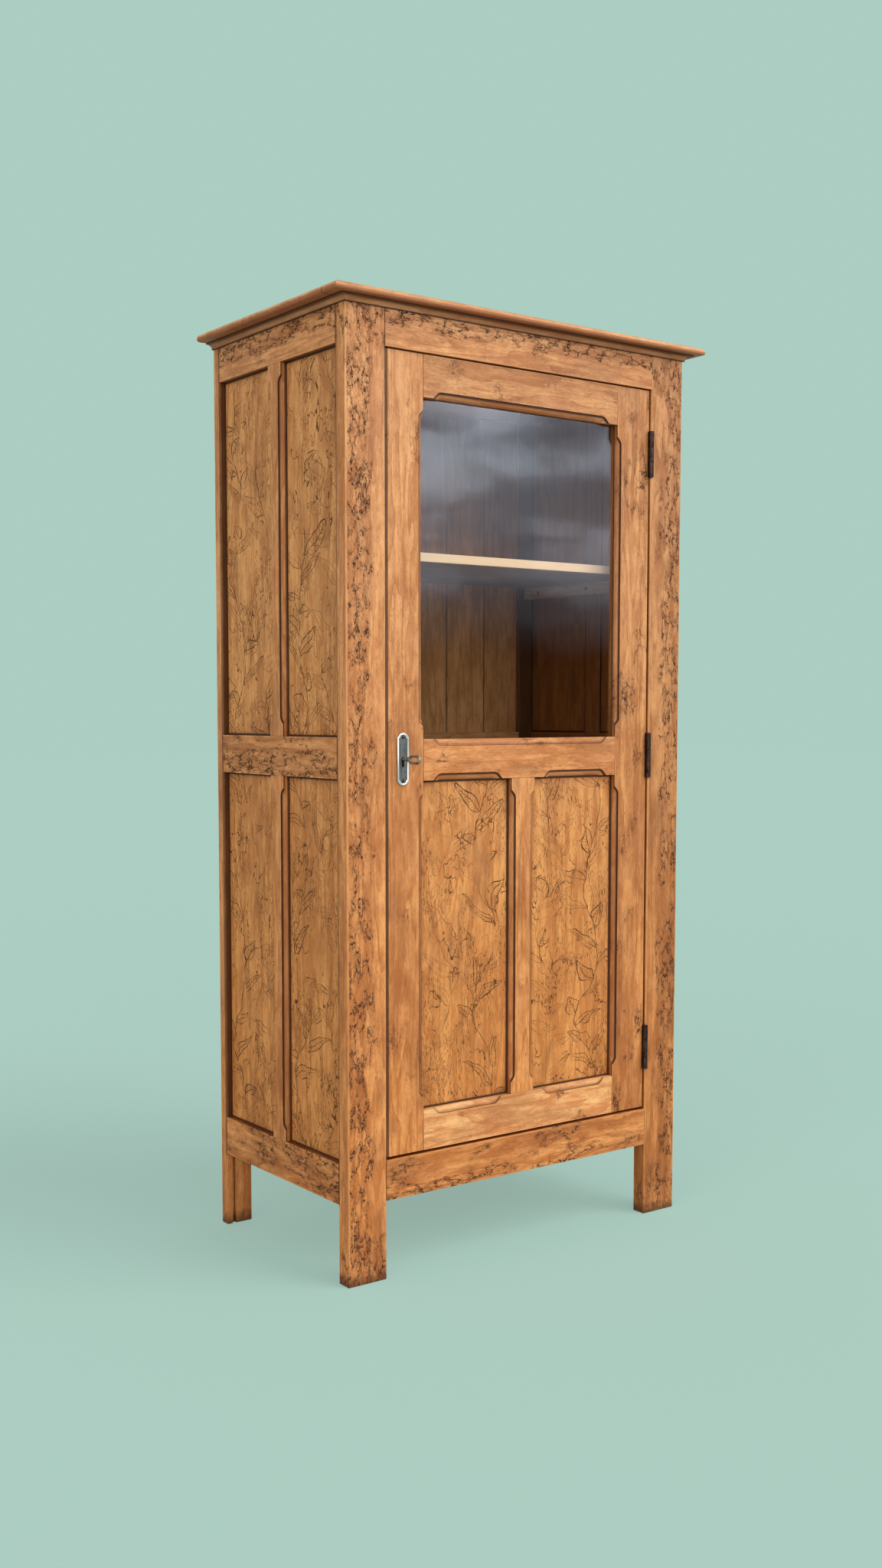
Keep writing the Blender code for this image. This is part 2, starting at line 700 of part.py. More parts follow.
def add_door_frame():
    """Stiles, rails and muntin of the door, with their stopped mouldings. Returns the stiles."""
    stiles = {}
    for word, side in SIDES:
        stiles[word] = board(
            f"door_stile_{word}",
            (side * DOOR_HALF, DOOR_FRONT, DOOR_BOTTOM),
            (side * LIGHT_HALF, DOOR_BACK, DOOR_TOP),
            BEECH,
            DOOR_AXIS,
        )
    tenon_front = DOOR_FRONT + PANEL_RECESS
    tenon_back = tenon_front + PANEL_THICKNESS
    rails = {}
    for level, bottom, top in (
        ("bottom", DOOR_BOTTOM, DOOR_BOTTOM_RAIL_TOP),
        ("middle", DOOR_MIDDLE_RAIL_Z, DOOR_MIDDLE_RAIL_TOP),
        ("top", DOOR_TOP_RAIL_Z, DOOR_TOP),
    ):
        rail = board(
            f"door_rail_{level}",
            (-LIGHT_HALF + FIT, DOOR_FRONT, bottom),
            (LIGHT_HALF - FIT, DOOR_BACK, top),
            BEECH,
            DOOR_AXIS,
        )
        reach = LIGHT_HALF + DOOR_TENON
        tenoned(
            rail,
            (-reach, tenon_front, bottom + TENON_SHOULDER),
            (reach, tenon_back, top - TENON_SHOULDER),
            stiles.values(),
        )
        rails[level] = rail
    muntin_half = DOOR_MUNTIN_WIDTH / 2
    muntin = board(
        "door_muntin",
        (-muntin_half, DOOR_FRONT, DOOR_BOTTOM_RAIL_TOP + FIT),
        (muntin_half, DOOR_BACK, DOOR_MIDDLE_RAIL_Z - FIT),
        BEECH,
        DOOR_AXIS,
    )
    tenon_half = muntin_half - TENON_SHOULDER
    tenoned(
        muntin,
        (-tenon_half, tenon_front, DOOR_BOTTOM_RAIL_TOP - MUNTIN_TENON),
        (tenon_half, tenon_back, DOOR_MIDDLE_RAIL_Z + MUNTIN_TENON),
        (rails["bottom"], rails["middle"]),
    )
    mould_door(stiles, rails, muntin)
    add_panels(stiles, rails, muntin)
    add_glass(stiles, rails)
    return stiles


def mould_door(stiles, rails, muntin):
    """Runs a stopped moulding along each edge of the door's three openings."""
    muntin_half = DOOR_MUNTIN_WIDTH / 2
    light = (-LIGHT_HALF, LIGHT_HALF, DOOR_MIDDLE_RAIL_TOP, DOOR_TOP_RAIL_Z)
    left_panel = (-LIGHT_HALF, -muntin_half, DOOR_BOTTOM_RAIL_TOP, DOOR_MIDDLE_RAIL_Z)
    right_panel = (muntin_half, LIGHT_HALF, DOOR_BOTTOM_RAIL_TOP, DOOR_MIDDLE_RAIL_Z)
    for name, opening, pieces in (
        ("light", light, (stiles["left"], stiles["right"], rails["middle"], rails["top"])),
        ("left_panel", left_panel, (stiles["left"], muntin, rails["bottom"], rails["middle"])),
        ("right_panel", right_panel, (muntin, stiles["right"], rails["bottom"], rails["middle"])),
    ):
        left, right, bottom, top = opening
        tall = top - bottom - 2 * STOP_DISTANCE
        wide = right - left - 2 * STOP_DISTANCE
        middle_x = (left + right) / 2
        middle_z = (bottom + top) / 2
        for obj, length, width, x, z, into_wood in (
            (pieces[0], tall, STILE_MOULDING_WIDTH, left, middle_z, (-1, 0, 0)),
            (pieces[1], tall, STILE_MOULDING_WIDTH, right, middle_z, (1, 0, 0)),
            (pieces[2], wide, RAIL_MOULDING_WIDTH, middle_x, bottom, (0, 0, -1)),
            (pieces[3], wide, RAIL_MOULDING_WIDTH, middle_x, top, (0, 0, 1)),
        ):
            cutter = stopped_moulding(
                f"{name}_{obj.name}_moulding", length, width, (x, DOOR_FRONT, z), into_wood, (0, -1, 0)
            )
            cut(obj, cutter)


def add_panels(stiles, rails, muntin):
    """The door's two lower panels, in grooves."""
    muntin_half = DOOR_MUNTIN_WIDTH / 2
    front = DOOR_FRONT + PANEL_RECESS
    slack = GROOVE_DEPTH - PANEL_INSERT
    for word, side in SIDES:
        low = (side * (muntin_half - PANEL_INSERT), front, DOOR_BOTTOM_RAIL_TOP - PANEL_INSERT)
        high = (
            side * (LIGHT_HALF + PANEL_INSERT),
            front + PANEL_THICKNESS,
            DOOR_MIDDLE_RAIL_Z + PANEL_INSERT,
        )
        panel = board(f"door_panel_{word}", low, high, BEECH_PANEL, DOOR_AXIS)
        groove = grown(panel.name + "_groove", low, high, (slack, FIT, slack))
        for holder in (stiles[word], rails["bottom"], rails["middle"], muntin):
            cut(holder, groove)


def add_glass(stiles, rails):
    """The pane in its rebate, held from behind by four beads."""
    front = DOOR_FRONT + GLASS_INSET
    half = LIGHT_HALF + GLASS_REBATE
    bottom = DOOR_MIDDLE_RAIL_TOP - GLASS_REBATE
    top = DOOR_TOP_RAIL_Z + GLASS_REBATE
    rebate = box("glass_rebate", (-half, front, bottom), (half, DOOR_BACK + OVERRUN, top))
    for holder in (*stiles.values(), rails["middle"], rails["top"]):
        cut(holder, rebate)
    pane_back = front + FIT + GLASS_THICKNESS
    board(
        "glass_pane",
        (-half + FIT, front + FIT, bottom + FIT),
        (half - FIT, pane_back, top - FIT),
        GLASS,
        DOOR_AXIS,
        ease=EASE / 2,
    )
    bead_front = pane_back + FIT
    for word, side in SIDES:
        board(
            f"glass_bead_{word}",
            (side * (half - FIT), bead_front, bottom + FIT),
            (side * (half - BEAD_WIDTH), DOOR_BACK, top - FIT),
            BEECH,
            DOOR_AXIS,
            ease=BEAD_EASE,
        )
    inner = half - BEAD_WIDTH - FIT
    for word, edge, towards in (("bottom", bottom, 1), ("top", top, -1)):
        board(
            f"glass_bead_{word}",
            (-inner, bead_front, edge + towards * FIT),
            (inner, DOOR_BACK, edge + towards * BEAD_WIDTH),
            BEECH,
            DOOR_AXIS,
            ease=BEAD_EASE,
        )


def add_hinges(post, stile):
    """Three butt hinges: the post's leaf keeps the pin, and the door's leaf turns on it."""
    clear = KNUCKLE_RADIUS + 2 * FIT
    knuckle = HINGE_LENGTH / KNUCKLES
    for word, middle in HINGE_MIDDLES:
        base = middle - HINGE_LENGTH / 2
        notch = cylinder(
            f"hinge_{word}_notch",
            clear,
            (HINGE_X, HINGE_Y, base - FIT),
            (0, 0, 1),
            HINGE_LENGTH + 2 * FIT,
        )
        cut(post, notch)
        for leaf_name, side, holder, carrier, turns in (
            ("frame", 1, post, None, (0, 2)),
            ("door", -1, stile, DOOR_AXIS, (1,)),
        ):
            name = f"hinge_{word}_{leaf_name}_leaf"
            inner = HINGE_X + side * (DOOR_SIDE_GAP / 2)
            start = (inner + side * FIT, HINGE_Y + clear, base)
            end = (start[0] + side * LEAF_THICKNESS, start[1] + LEAF_WIDTH, base + HINGE_LENGTH)
            leaf = piece(box(name, start, end), IRON, carrier)
            mouth = (inner - side * OVERRUN, HINGE_Y, base)
            cut(holder, grown(name + "_recess", mouth, end, (FIT, FIT, FIT)))
            for turn in turns:
                low = base + turn * knuckle + FIT / 2
                length = knuckle - FIT
                foot = (HINGE_X, HINGE_Y, low)
                barrel = cylinder(f"{name}_knuckle_{turn}", KNUCKLE_RADIUS, foot, (0, 0, 1), length)
                web = box(
                    f"{name}_web_{turn}",
                    (start[0], HINGE_Y, low),
                    (end[0], HINGE_Y + clear + OVERRUN, low + length),
                )
                fuse(leaf, barrel, web)
            pin = cylinder(
                f"{name}_pin",
                PIN_RADIUS + (0 if leaf_name == "frame" else FIT),
                (HINGE_X, HINGE_Y, base + FIT),
                (0, 0, 1),
                HINGE_LENGTH - 2 * FIT,
            )
            combine(leaf, "UNION" if leaf_name == "frame" else "DIFFERENCE", (pin,))


def escutcheon_outline(inset):
    """A long plate with shouldered, rounded ends, drawn in from its edge by an inset."""
    half = ESCUTCHEON_WIDTH / 2 - inset
    crown = ESCUTCHEON_HEIGHT / 2 - inset
    lobe = half - ESCUTCHEON_SHOULDER
    spring = crown - ESCUTCHEON_CROWN
    shoulder = spring - ESCUTCHEON_SHOULDER / 2
    round_end = arc((0.0, spring), (lobe, ESCUTCHEON_CROWN), 0, 180, CROWN_STEPS)
    upper = [(half, shoulder), *round_end, (-half, shoulder)]
    lower = [(-x, -y) for x, y in upper]
    return upper + lower


def keyhole(name, start_y, end_y):
    """A keyhole cutter from front to back: a round eye over a slot."""
    length = end_y - start_y
    eye = cylinder(name + "_eye", KEYHOLE_RADIUS, (KEY_X, start_y, KEY_HEIGHT), (0, 1, 0), length)
    slot = box(
        name + "_slot",
        (KEY_X - KEYHOLE_SLOT / 2, start_y, KEY_HEIGHT - KEYHOLE_DROP),
        (KEY_X + KEYHOLE_SLOT / 2, end_y, KEY_HEIGHT),
    )
    return eye, slot


def add_lock(stile):
    """Escutcheon, rim lock with its sliding bolt, and the key that turns in it."""
    upright = Matrix.Rotation(math.radians(90), 4, "X")
    face = Matrix.Translation((KEY_X, DOOR_FRONT - FIT, KEY_HEIGHT)) @ upright
    plate = extruded("escutcheon", escutcheon_outline(0.0), ESCUTCHEON_THICKNESS, face)
    piece(plate, STEEL, DOOR_AXIS)
    lift = Matrix.Translation((0, 0, ESCUTCHEON_THICKNESS - ESCUTCHEON_SINK))
    sunk = extruded("escutcheon_sunk_field", escutcheon_outline(ESCUTCHEON_RIM), OVERRUN, face @ lift)
    through = DOOR_FRONT - ESCUTCHEON_THICKNESS - OVERRUN
    cut(plate, sunk, *keyhole("plate_keyhole", through, DOOR_FRONT + OVERRUN))
    cut(stile, *keyhole("stile_keyhole", DOOR_FRONT - OVERRUN, DOOR_BACK + OVERRUN))

    case_left = -DOOR_HALF + CASE_WALL
    case_front = DOOR_BACK + FIT
    case_low = (case_left, case_front, KEY_HEIGHT - CASE_HEIGHT / 2)
    case_high = (case_left + CASE_WIDTH, case_front + CASE_DEPTH, KEY_HEIGHT + CASE_HEIGHT / 2)
    case = board("lock_case", case_low, case_high, STEEL, DOOR_AXIS, ease=EASE / 2)
    hollow = grown("lock_hollow", case_low, case_high, (-CASE_WALL, -CASE_WALL, -CASE_WALL))
    mouth = box(
        "lock_mouth",
        Vector(case_low) + Vector((CASE_WALL, -OVERRUN, CASE_WALL)),
        Vector(case_high) - Vector((CASE_WALL, CASE_DEPTH / 2, CASE_WALL)),
    )
    fuse(hollow, mouth)
    bolt_bottom = KEY_HEIGHT + BIT_REACH - BIT_GRIP
    bolt_front = case_front + (CASE_DEPTH - CASE_WALL - BOLT_THICKNESS) / 2
    bolt_low = (case_left, bolt_front, bolt_bottom)
    bolt_high = (case_left + BOLT_LENGTH, bolt_front + BOLT_THICKNESS, bolt_bottom + BOLT_HEIGHT)
    slot_end = (case_left + 2 * CASE_WALL, *bolt_high[1:])
    bolt_slot = grown("bolt_slot", bolt_low, slot_end, (OVERRUN, FIT, FIT))
    spigot_hole = cylinder(
        "key_tip_hole",
        SHANK_RADIUS + FIT,
        (KEY_X, case_high[1] - 2 * CASE_WALL, KEY_HEIGHT),
        (0, 1, 0),
        4 * CASE_WALL,
    )
    cut(case, hollow, bolt_slot, spigot_hole)

    bolt = board("lock_bolt", bolt_low, bolt_high, STEEL, DOOR_AXIS, ease=EASE / 2)
    notch_x = KEY_X + BOLT_THROW / 2
    notch_top = KEY_HEIGHT + BIT_REACH + BIT_CLEARANCE
    notch = box(
        "bolt_notch",
        (notch_x - BOLT_NOTCH / 2, bolt_front - OVERRUN, bolt_bottom - OVERRUN),
        (notch_x + BOLT_NOTCH / 2, bolt_high[1] + OVERRUN, notch_top),
    )
    cut(bolt, notch)
    add_key(bolt_front, case_high[1])


def add_key(bolt_front, case_back):
    """The key: a bow of bent wire, a shank with a collar, and a bit under the bolt."""
    tip = DOOR_FRONT - KEY_STAND_OUT
    bow_end = tip + BOW_LENGTH
    start = (KEY_X, bow_end - BOW_WIRE_RADIUS, KEY_HEIGHT)
    key = cylinder("key", SHANK_RADIUS, start, (0, 1, 0), case_back - start[1])
    piece(key, KEY_METAL, KEY_AXIS)
    half_length = BOW_LENGTH / 2 - BOW_WIRE_RADIUS
    half_height = BOW_HEIGHT / 2 - BOW_WIRE_RADIUS
    oval = arc((0, 0), (half_length, half_height), 0, 360, BOW_STEPS)
    ring = curve_object("key_bow", oval[:-1], True, "3D")
    ring.data.bevel_depth = BOW_WIRE_RADIUS
    ring.data.bevel_resolution = 1
    centre = Vector((KEY_X, tip + BOW_LENGTH / 2, KEY_HEIGHT))
    turn = Matrix(((0, 0, 1), (1, 0, 0), (0, 1, 0))).to_4x4()
    bow = mesh_from_curve(ring, Matrix.Translation(centre) @ turn)
    neck = (KEY_X, bow_end, KEY_HEIGHT)
    collar = cylinder("key_collar", COLLAR_RADIUS, neck, (0, 1, 0), COLLAR_LENGTH)
    bit_middle = bolt_front + BOLT_THICKNESS / 2
    bit = box(
        "key_bit",
        (KEY_X - BIT_THICKNESS / 2, bit_middle - BIT_WIDTH / 2, KEY_HEIGHT - BIT_REACH),
        (KEY_X + BIT_THICKNESS / 2, bit_middle + BIT_WIDTH / 2, KEY_HEIGHT),
    )
    fuse(key, bow, collar, bit)


def add_axis(name, point, carrier=None):
    """An empty on a joint's axis, which carries the pieces that move on it."""
    axis = bpy.data.objects.new(name, None)
    PARTS.objects.link(axis)
    AXIS_POINTS[name] = Vector(point)
    axis.location = point
    if carrier is not None:
        axis.parent = carrier
        axis.matrix_parent_inverse = Matrix.Translation(-AXIS_POINTS[carrier.name])
    return axis


AXIS_POINTS = {}
DOOR_AXIS = add_axis("door_hinge_axis", (HINGE_X, HINGE_Y, 0.0))
KEY_AXIS = add_axis("key_axis", (KEY_X, DOOR_FRONT, KEY_HEIGHT), DOOR_AXIS)


def main():
    posts = add_posts()
    add_side_frames(posts)
    front_rails = add_front_rails(posts)
    back_rails = add_back(posts)
    add_inside(front_rails, back_rails)
    add_bed_moulding()
    add_top()
    stiles = add_door_frame()
    add_hinges(posts["front", "right"], stiles["right"])
    add_lock(stiles["left"])


main()
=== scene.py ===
"""Dresses the glass-door cupboard: waxed and burnt beech, old metal, glass, fasteners and a studio."""

import math

import bmesh
import bpy
from mathutils import Matrix, Vector


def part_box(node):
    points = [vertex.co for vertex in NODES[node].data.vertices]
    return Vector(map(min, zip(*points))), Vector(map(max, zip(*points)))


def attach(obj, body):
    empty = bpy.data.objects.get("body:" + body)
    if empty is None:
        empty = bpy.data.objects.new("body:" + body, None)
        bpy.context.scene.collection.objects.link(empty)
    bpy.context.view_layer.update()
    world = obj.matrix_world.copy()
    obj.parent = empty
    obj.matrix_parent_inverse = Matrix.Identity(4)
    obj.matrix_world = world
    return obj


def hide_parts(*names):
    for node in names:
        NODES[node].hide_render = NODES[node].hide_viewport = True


bl_info = {
    "name": "Glass-door cupboard",
    "version": (1, 0, 0),
    "blender": (4, 5, 0),
    "location": "View3D > Sidebar > Cupboard",
    "description": "Finishes, fasteners and a studio for a waxed beech cupboard with a glazed door",
    "category": "Object",
}

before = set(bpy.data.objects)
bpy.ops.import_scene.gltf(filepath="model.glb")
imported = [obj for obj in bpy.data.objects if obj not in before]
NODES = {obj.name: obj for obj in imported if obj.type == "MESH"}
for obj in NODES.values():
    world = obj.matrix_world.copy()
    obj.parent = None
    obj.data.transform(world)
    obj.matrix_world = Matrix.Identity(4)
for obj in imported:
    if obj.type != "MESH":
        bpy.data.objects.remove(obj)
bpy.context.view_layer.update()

# The frame's own sizes, which the finishes and fasteners are placed by. BOARD_JOINT is in shares of a board.
POST_LOW, POST_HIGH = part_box("post_front_right")
HALF_WIDTH = POST_HIGH.x
POST_TOP = POST_HIGH.z
FOOT_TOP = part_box("side_left_rail_bottom")[0].z
DOOR_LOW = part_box("door_stile_left")[0]
DOOR_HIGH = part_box("door_stile_right")[1]
SHOULDERS = {
    "front": POST_LOW.x,
    "door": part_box("door_stile_right")[0].x,
    "back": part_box("post_back_right")[0].x,
}
SIDE_SHOULDERS = (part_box("post_front_left")[1].y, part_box("post_back_left")[0].y)
BACK_LOW, BACK_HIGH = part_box("back_boards")
BACK_WIDTH = BACK_HIGH.x - BACK_LOW.x
BOARD_WIDTH = 0.103
BOARD_COUNT = round(BACK_WIDTH / BOARD_WIDTH)
BOARD_JOINT = (0.47, 0.49)

# Pieces by their finish
PANELS = sorted(name for name in NODES if "_panel_" in name)
METAL = {
    "hinge_iron": sorted(name for name in NODES if name.startswith("hinge_")),
    "lock_steel": ["lock_case", "lock_bolt"],
    "key_metal": ["key"],
}
INSIDE = ["bottom_board", "shelf", "shelf_cleat_left", "shelf_cleat_right"]
BEADS = sorted(name for name in NODES if name.startswith("glass_bead_"))
BACK = ["back_boards", "back_rail_bottom", "back_rail_middle", "back_rail_top"]
TOPS = ["top_board", "top_front_strip", "bed_moulding_front", "bed_moulding_left", "bed_moulding_right"]
OTHERS = PANELS + sum(METAL.values(), []) + INSIDE + BEADS + BACK + TOPS + ["glass_pane", "escutcheon"]
FRAMING = sorted(name for name in NODES if name not in OTHERS)

# Grain, and the tone of single boards, some of it painted shade under the cornice
AXES = ("X", "Y", "Z")
GRAIN_TURNS = {"X": (0.0, math.pi / 2, 0.0), "Y": (math.pi / 2, 0.0, 0.0), "Z": (0.0, 0.0, 0.0)}
SEED_STEP = Vector((0.37, 0.61, 0.83))
PORE_DEPTH = 0.0005
BOARD_TONES_AND_SHADE = {
    "door_rail_bottom": 1.3,
    "door_rail_middle": 1.1,
    # Darker as painted shade under the cornice
    "door_rail_top": 0.87,
    "door_stile_right": 0.92,
    "post_front_left": 1.02,
    "post_front_right": 0.84,
    # Darker as painted shade under the slab
    "bed_moulding_front": 0.72,
    "bed_moulding_left": 0.72,
    "bed_moulding_right": 0.72,
}
PALE = ("door_rail_bottom",)
PALEST = 0.95

# Depths of the outer skin of a board, and of one with mouldings
SKIN = 0.005
REVEAL = 0.015
THIN_SKIN = (SKIN / 2, SKIN / 4)
GROOVE = 0.0075

# Heights and distances that a shade rises over, from none to full, and how far its edge wanders
# Heights over which the painted sheen above gives way to richer wood below
SHEEN_HEIGHTS = (1.5, 0.2)
HANDLED = (1.15, 0.5)
FLOOR_DIRT = (0.012, -0.012)
DIRT_RISE = 0.03
ARRIS = (0.0068, 0.0022)
ARRIS_WANDER = 0.006
QUIRK_REACH = 0.0045
DOOR_RIM = (0.003, 0.006)
# Band above a rail's middle, where the edges face up and get less painted shade
UP_FACING_LIT = (0.0, 0.01)
MOULDING_FACE = (0.0004, 0.001)
MOULDING_QUIRK = (0.0034, 0.0026)
MOULDING_FOOT = (0.0078, 0.0094)
MOULDING_END = (REVEAL + 0.002, REVEAL)
# Band of a dark joint and of the painted shade beside it
JOINT_SHADE = (0.0046, 0.002)
SHOULDER_LINE = (0.0018, 0.0004)
GAP_SHADE_BAND = (0.0072, 0.0054)
# Band of painted shade in a panel's recess
PANEL_RECESS_SHADE = (0.014, 0.0)
PANEL_WANDER = 0.01
BED_HEAD = (-0.0042, -0.001)
BED_FOOT = (0.0028, 0.0)
# Band of painted shade under the nosing
NOSING_SHADOW = (0.009, 0.005)
TOP_JOINT = (0.0024, 0.0005)
# How the painted shade rises up the back above the shelf
BACK_SHADE_RISE = (-0.02, 0.12)

# Scorching: bands on the posts, and how far inside a rail's edges it starts and is full
POST_BAND = (0.085, 0.025)
POST_ARRIS = (0.0015, 0.005)
POST_HEAD = (POST_TOP - 0.14, POST_TOP - 0.03)
POST_FOOT = (0.12, 0.02)
SCORCH_MARGINS = {
    "front_rail_top": (0.02, 0.024),
    "front_rail_bottom": (0.02, 0.014),
    "side_rail_top": (0.008, 0.034),
    "side_rail_middle": (0.015, 0.02),
}
TRAIL_SHIFTS = (-0.045, 0.05)

# Keyhole, plate and key
KEYHOLE_STILE = "door_stile_left"
KEYHOLE_SIZE = (0.01, 0.019)
KEYHOLE_DROP = 0.0047
KEYHOLE_EDGE = (0.001, 0.0)
PLATE_SINK = 0.0006
METAL_HOLLOW = 0.0012
PLATE_HOLLOW = 0.004
NECK_SPREAD = (0.8, 1, 1.6)

# Heads of screws and nails: steps inwards and up, rim and slot, as shares of the radius and the height
SCREW_STEPS = ((0.22, 0.25), (0.34, 0.15))
SCREW_RIM = 0.6
SCREW_CUT = 0.45
SCREW_SIDES = 24
NAIL_STEPS = ((0.2, 0.2), (0.4, -0.12))
NAIL_SIDES = 14

# Places of fasteners: insets as a share of the plate and in head radii, shares of a length, wander and seat
PLATE_SCREW_INSET = 0.085
PLATE_SCREW_TURNS = (0.5, 1.9)
LOCK_SCREW_INSET = 2.2
CLEAT_SHARES = (0.12, 0.5, 0.88)
NAIL_SHARES = (0.25, 0.75)
NAIL_WANDER = 0.008
NAIL_LEAN = 0.05
LOCK_SEAT = 0.0002
CLEAT_SEAT = 0.0003
NAIL_SEAT = 0.0004

# Studio
LAMP_WAYS = {"key": (0.42, -0.62, 0.66), "front": (-0.3, -0.94, 0.12), "fill": (-0.85, -0.4, 0.35)}
LAMP_TINTS = {"key": (1.0, 0.96, 0.91), "front": (1.0, 0.96, 0.91), "fill": (1.0, 0.92, 0.8)}
LAMP_SPREAD = math.radians(45)
LAMP_DISTANCE = 4.0
SHOWN_RAYS = ("Is Camera Ray", "Is Glossy Ray", "Is Transmission Ray")
SKY_WHITE = (1.0, 0.97, 0.94)
FLOOR_SIZE = 60.0
FLOOR_BOUNCE = (0.5, 0.48, 0.46)
FLOOR_FLAT = 0.6
CARD_SIZE = 5.0
CARD_PLACE = (2.6, -4.4, 2.6)
CARD_TURN = math.radians(30)
CARD_RISE = (1.25, 2.1)
CARD_SIDE = (3.8, 2.8)
CARD_PATCH = {"place": (3.0, 2.62), "half": (0.42, 0.3)}
CARD_DARK = (0.003, 0.002, 0.001)
CARD_BRIGHT = (0.72, 0.79, 0.92)
SENSOR = 36.0


def rgba(colour):
    return (*colour, 1.0)


def box_of(name):
    """A node's middle and half sizes."""
    low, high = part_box(name)
    return (low + high) / 2, (high - low) / 2


def beyond(start, band):
    """A band of distances, counted from a start."""
    return [start + edge for edge in band]


def grain_of(name):
    """The axis that a board's grain runs along, which is its longest."""
    half = box_of(name)[1]
    return AXES[max(range(3), key=lambda axis: half[axis])]


class Value:
    """A number in a finish, so that shader maths reads as plain Python."""

    def __init__(self, finish, socket):
        self.finish = finish
        self.socket = socket

    def __add__(self, other):
        return self.finish.math("ADD", self, other)

    __radd__ = __add__

    def __sub__(self, other):
        return self.finish.math("SUBTRACT", self, other)

    def __rsub__(self, other):
        return self.finish.math("SUBTRACT", other, self)

    def __mul__(self, other):
        return self.finish.math("MULTIPLY", self, other)

    def __truediv__(self, other):
        return self.finish.math("DIVIDE", self, other)

    def __pow__(self, other):
        return self.finish.math("POWER", self, other)

    def __mod__(self, other):
        return self.finish.math("FLOORED_MODULO", self, other)

    def __abs__(self):
        return self.finish.math("ABSOLUTE", self)


class Finish:
    """One material's nodes, and the calls that add to them."""

    def __init__(self, name, carrier=None):
        self.material = carrier or bpy.data.materials.new(name)
        self.material.use_nodes = True
        self.tree = self.material.node_tree
        self.tree.nodes.clear()

    def node(self, kind, inputs, output=0, **settings):
        """Adds a node of a kind, with its settings made first, then the values or links of its sockets."""
        made = self.tree.nodes.new(kind)
        for name, value in settings.items():
            setattr(made, name, value)
        for name, value in inputs.items():
            socket = self.socket(made.inputs, name)
            if isinstance(value, Value):
                self.tree.links.new(value.socket, socket)
            else:
                socket.default_value = value
        return Value(self, self.socket(made.outputs, output)) if made.outputs else None

    def socket(self, sockets, name):
        """A socket by its number, its identifier or its name."""
        if isinstance(name, int):
            return sockets[name]
        return next((socket for socket in sockets if socket.identifier == name), None) or sockets[name]

    def math(self, operation, *values):
        return self.node("ShaderNodeMath", dict(enumerate(values)), operation=operation)

    def place(self):
        return self.node("ShaderNodeTexCoord", {}, "Object")

    def axes(self, place):
        """The three numbers of a place."""
        split = self.node("ShaderNodeSeparateXYZ", {"Vector": place}, "X").socket.node
        return [Value(self, socket) for socket in split.outputs]

    def mapped(self, place, location=(0, 0, 0), rotation=(0, 0, 0), scale=(1, 1, 1)):
        inputs = {"Vector": place, "Location": location, "Rotation": rotation, "Scale": scale}
        return self.node("ShaderNodeMapping", inputs, "Vector")

    def grain(self, place, axis, seed):
        """The place turned so that the grain runs along Z, and moved to another spot of the log."""
        return self.mapped(place, location=seed * SEED_STEP, rotation=GRAIN_TURNS[axis])

    def noise(self, place, across, along=None, detail=2.0, roughness=0.5, output="Fac"):
        """Noise whose lumps are so many metres across, and drawn out along Z where a length is given."""
        stretched = self.mapped(place, scale=(1 / across, 1 / across, 1 / (along or across)))
        inputs = {"Vector": stretched, "Scale": 1.0, "Detail": detail, "Roughness": roughness}
        return self.node("ShaderNodeTexNoise", inputs, output)

    def shaken(self, place, across, by):
        """The place moved about by a noise, so that straight lines come out as drawn by hand."""
        drift = self.noise(place, across, detail=2.0, output="Color")
        centred = self.node("ShaderNodeVectorMath", {0: drift, 1: (0.5, 0.5, 0.5)}, operation="SUBTRACT")
        scaled = self.node("ShaderNodeVectorMath", {0: centred, "Scale": by}, operation="SCALE")
        return self.node("ShaderNodeVectorMath", {0: place, 1: scaled}, operation="ADD")

    def step(self, value, low, high):
        """A smooth rise from 0 at low to 1 at high, or a fall where high is the smaller."""
        inputs = {"Value": value, "From Min": low, "From Max": high}
        return self.node("ShaderNodeMapRange", inputs, "Result", interpolation_type="SMOOTHSTEP")

    def line(self, distance, width):
        """A stroke where a distance is under half the width, with soft edges."""
        return self.step(abs(distance), 0.62 * width, 0.38 * width)

    def most(self, *values):
        found = values[0]
        for value in values[1:]:
            found = self.math("MAXIMUM", found, value)
        return found

    def least(self, *values):
        found = values[0]
        for value in values[1:]:
            found = self.math("MINIMUM", found, value)
        return found

    def clamped(self, value):
        return self.math("MINIMUM", self.math("MAXIMUM", value, 0.0), 1.0)

    def mix(self, factor, first, second, blend="MIX"):
        inputs = {"Factor_Float": factor}
        for name, colour in (("A_Color", first), ("B_Color", second)):
            inputs[name] = colour if isinstance(colour, Value) else rgba(colour)
        return self.node("ShaderNodeMix", inputs, "Result_Color", data_type="RGBA", blend_type=blend)

    def chance(self, cell, output):
        """A number or colour that each cell draws for itself."""
        return self.node("ShaderNodeTexWhiteNoise", {"W": cell}, output, noise_dimensions="1D")

    def cavity(self, depth):
        """How deep a spot lies in a quirk or groove of its own piece, from 0 in the open to 1."""
        settings = {"samples": 8, "only_local": True}
        light = self.node("ShaderNodeAmbientOcclusion", {"Distance": depth}, "AO", **settings)
        return self.step(light, 0.9, 0.5)

    def rays(self, *kinds):
        """1 for rays of these kinds, and 0 for all others."""
        path = self.node("ShaderNodeLightPath", {}, kinds[0])
        return self.most(*[Value(self, path.socket.node.outputs[kind]) for kind in kinds])

    def bump(self, height, depth, strength=1.0):
        inputs = {"Height": height, "Distance": depth, "Strength": strength}
        return self.node("ShaderNodeBump", inputs, "Normal")

    def surface(self, inputs):
        """Closes the finish with one surface shader."""
        return self.output(self.node("ShaderNodeBsdfPrincipled", inputs, "BSDF"))

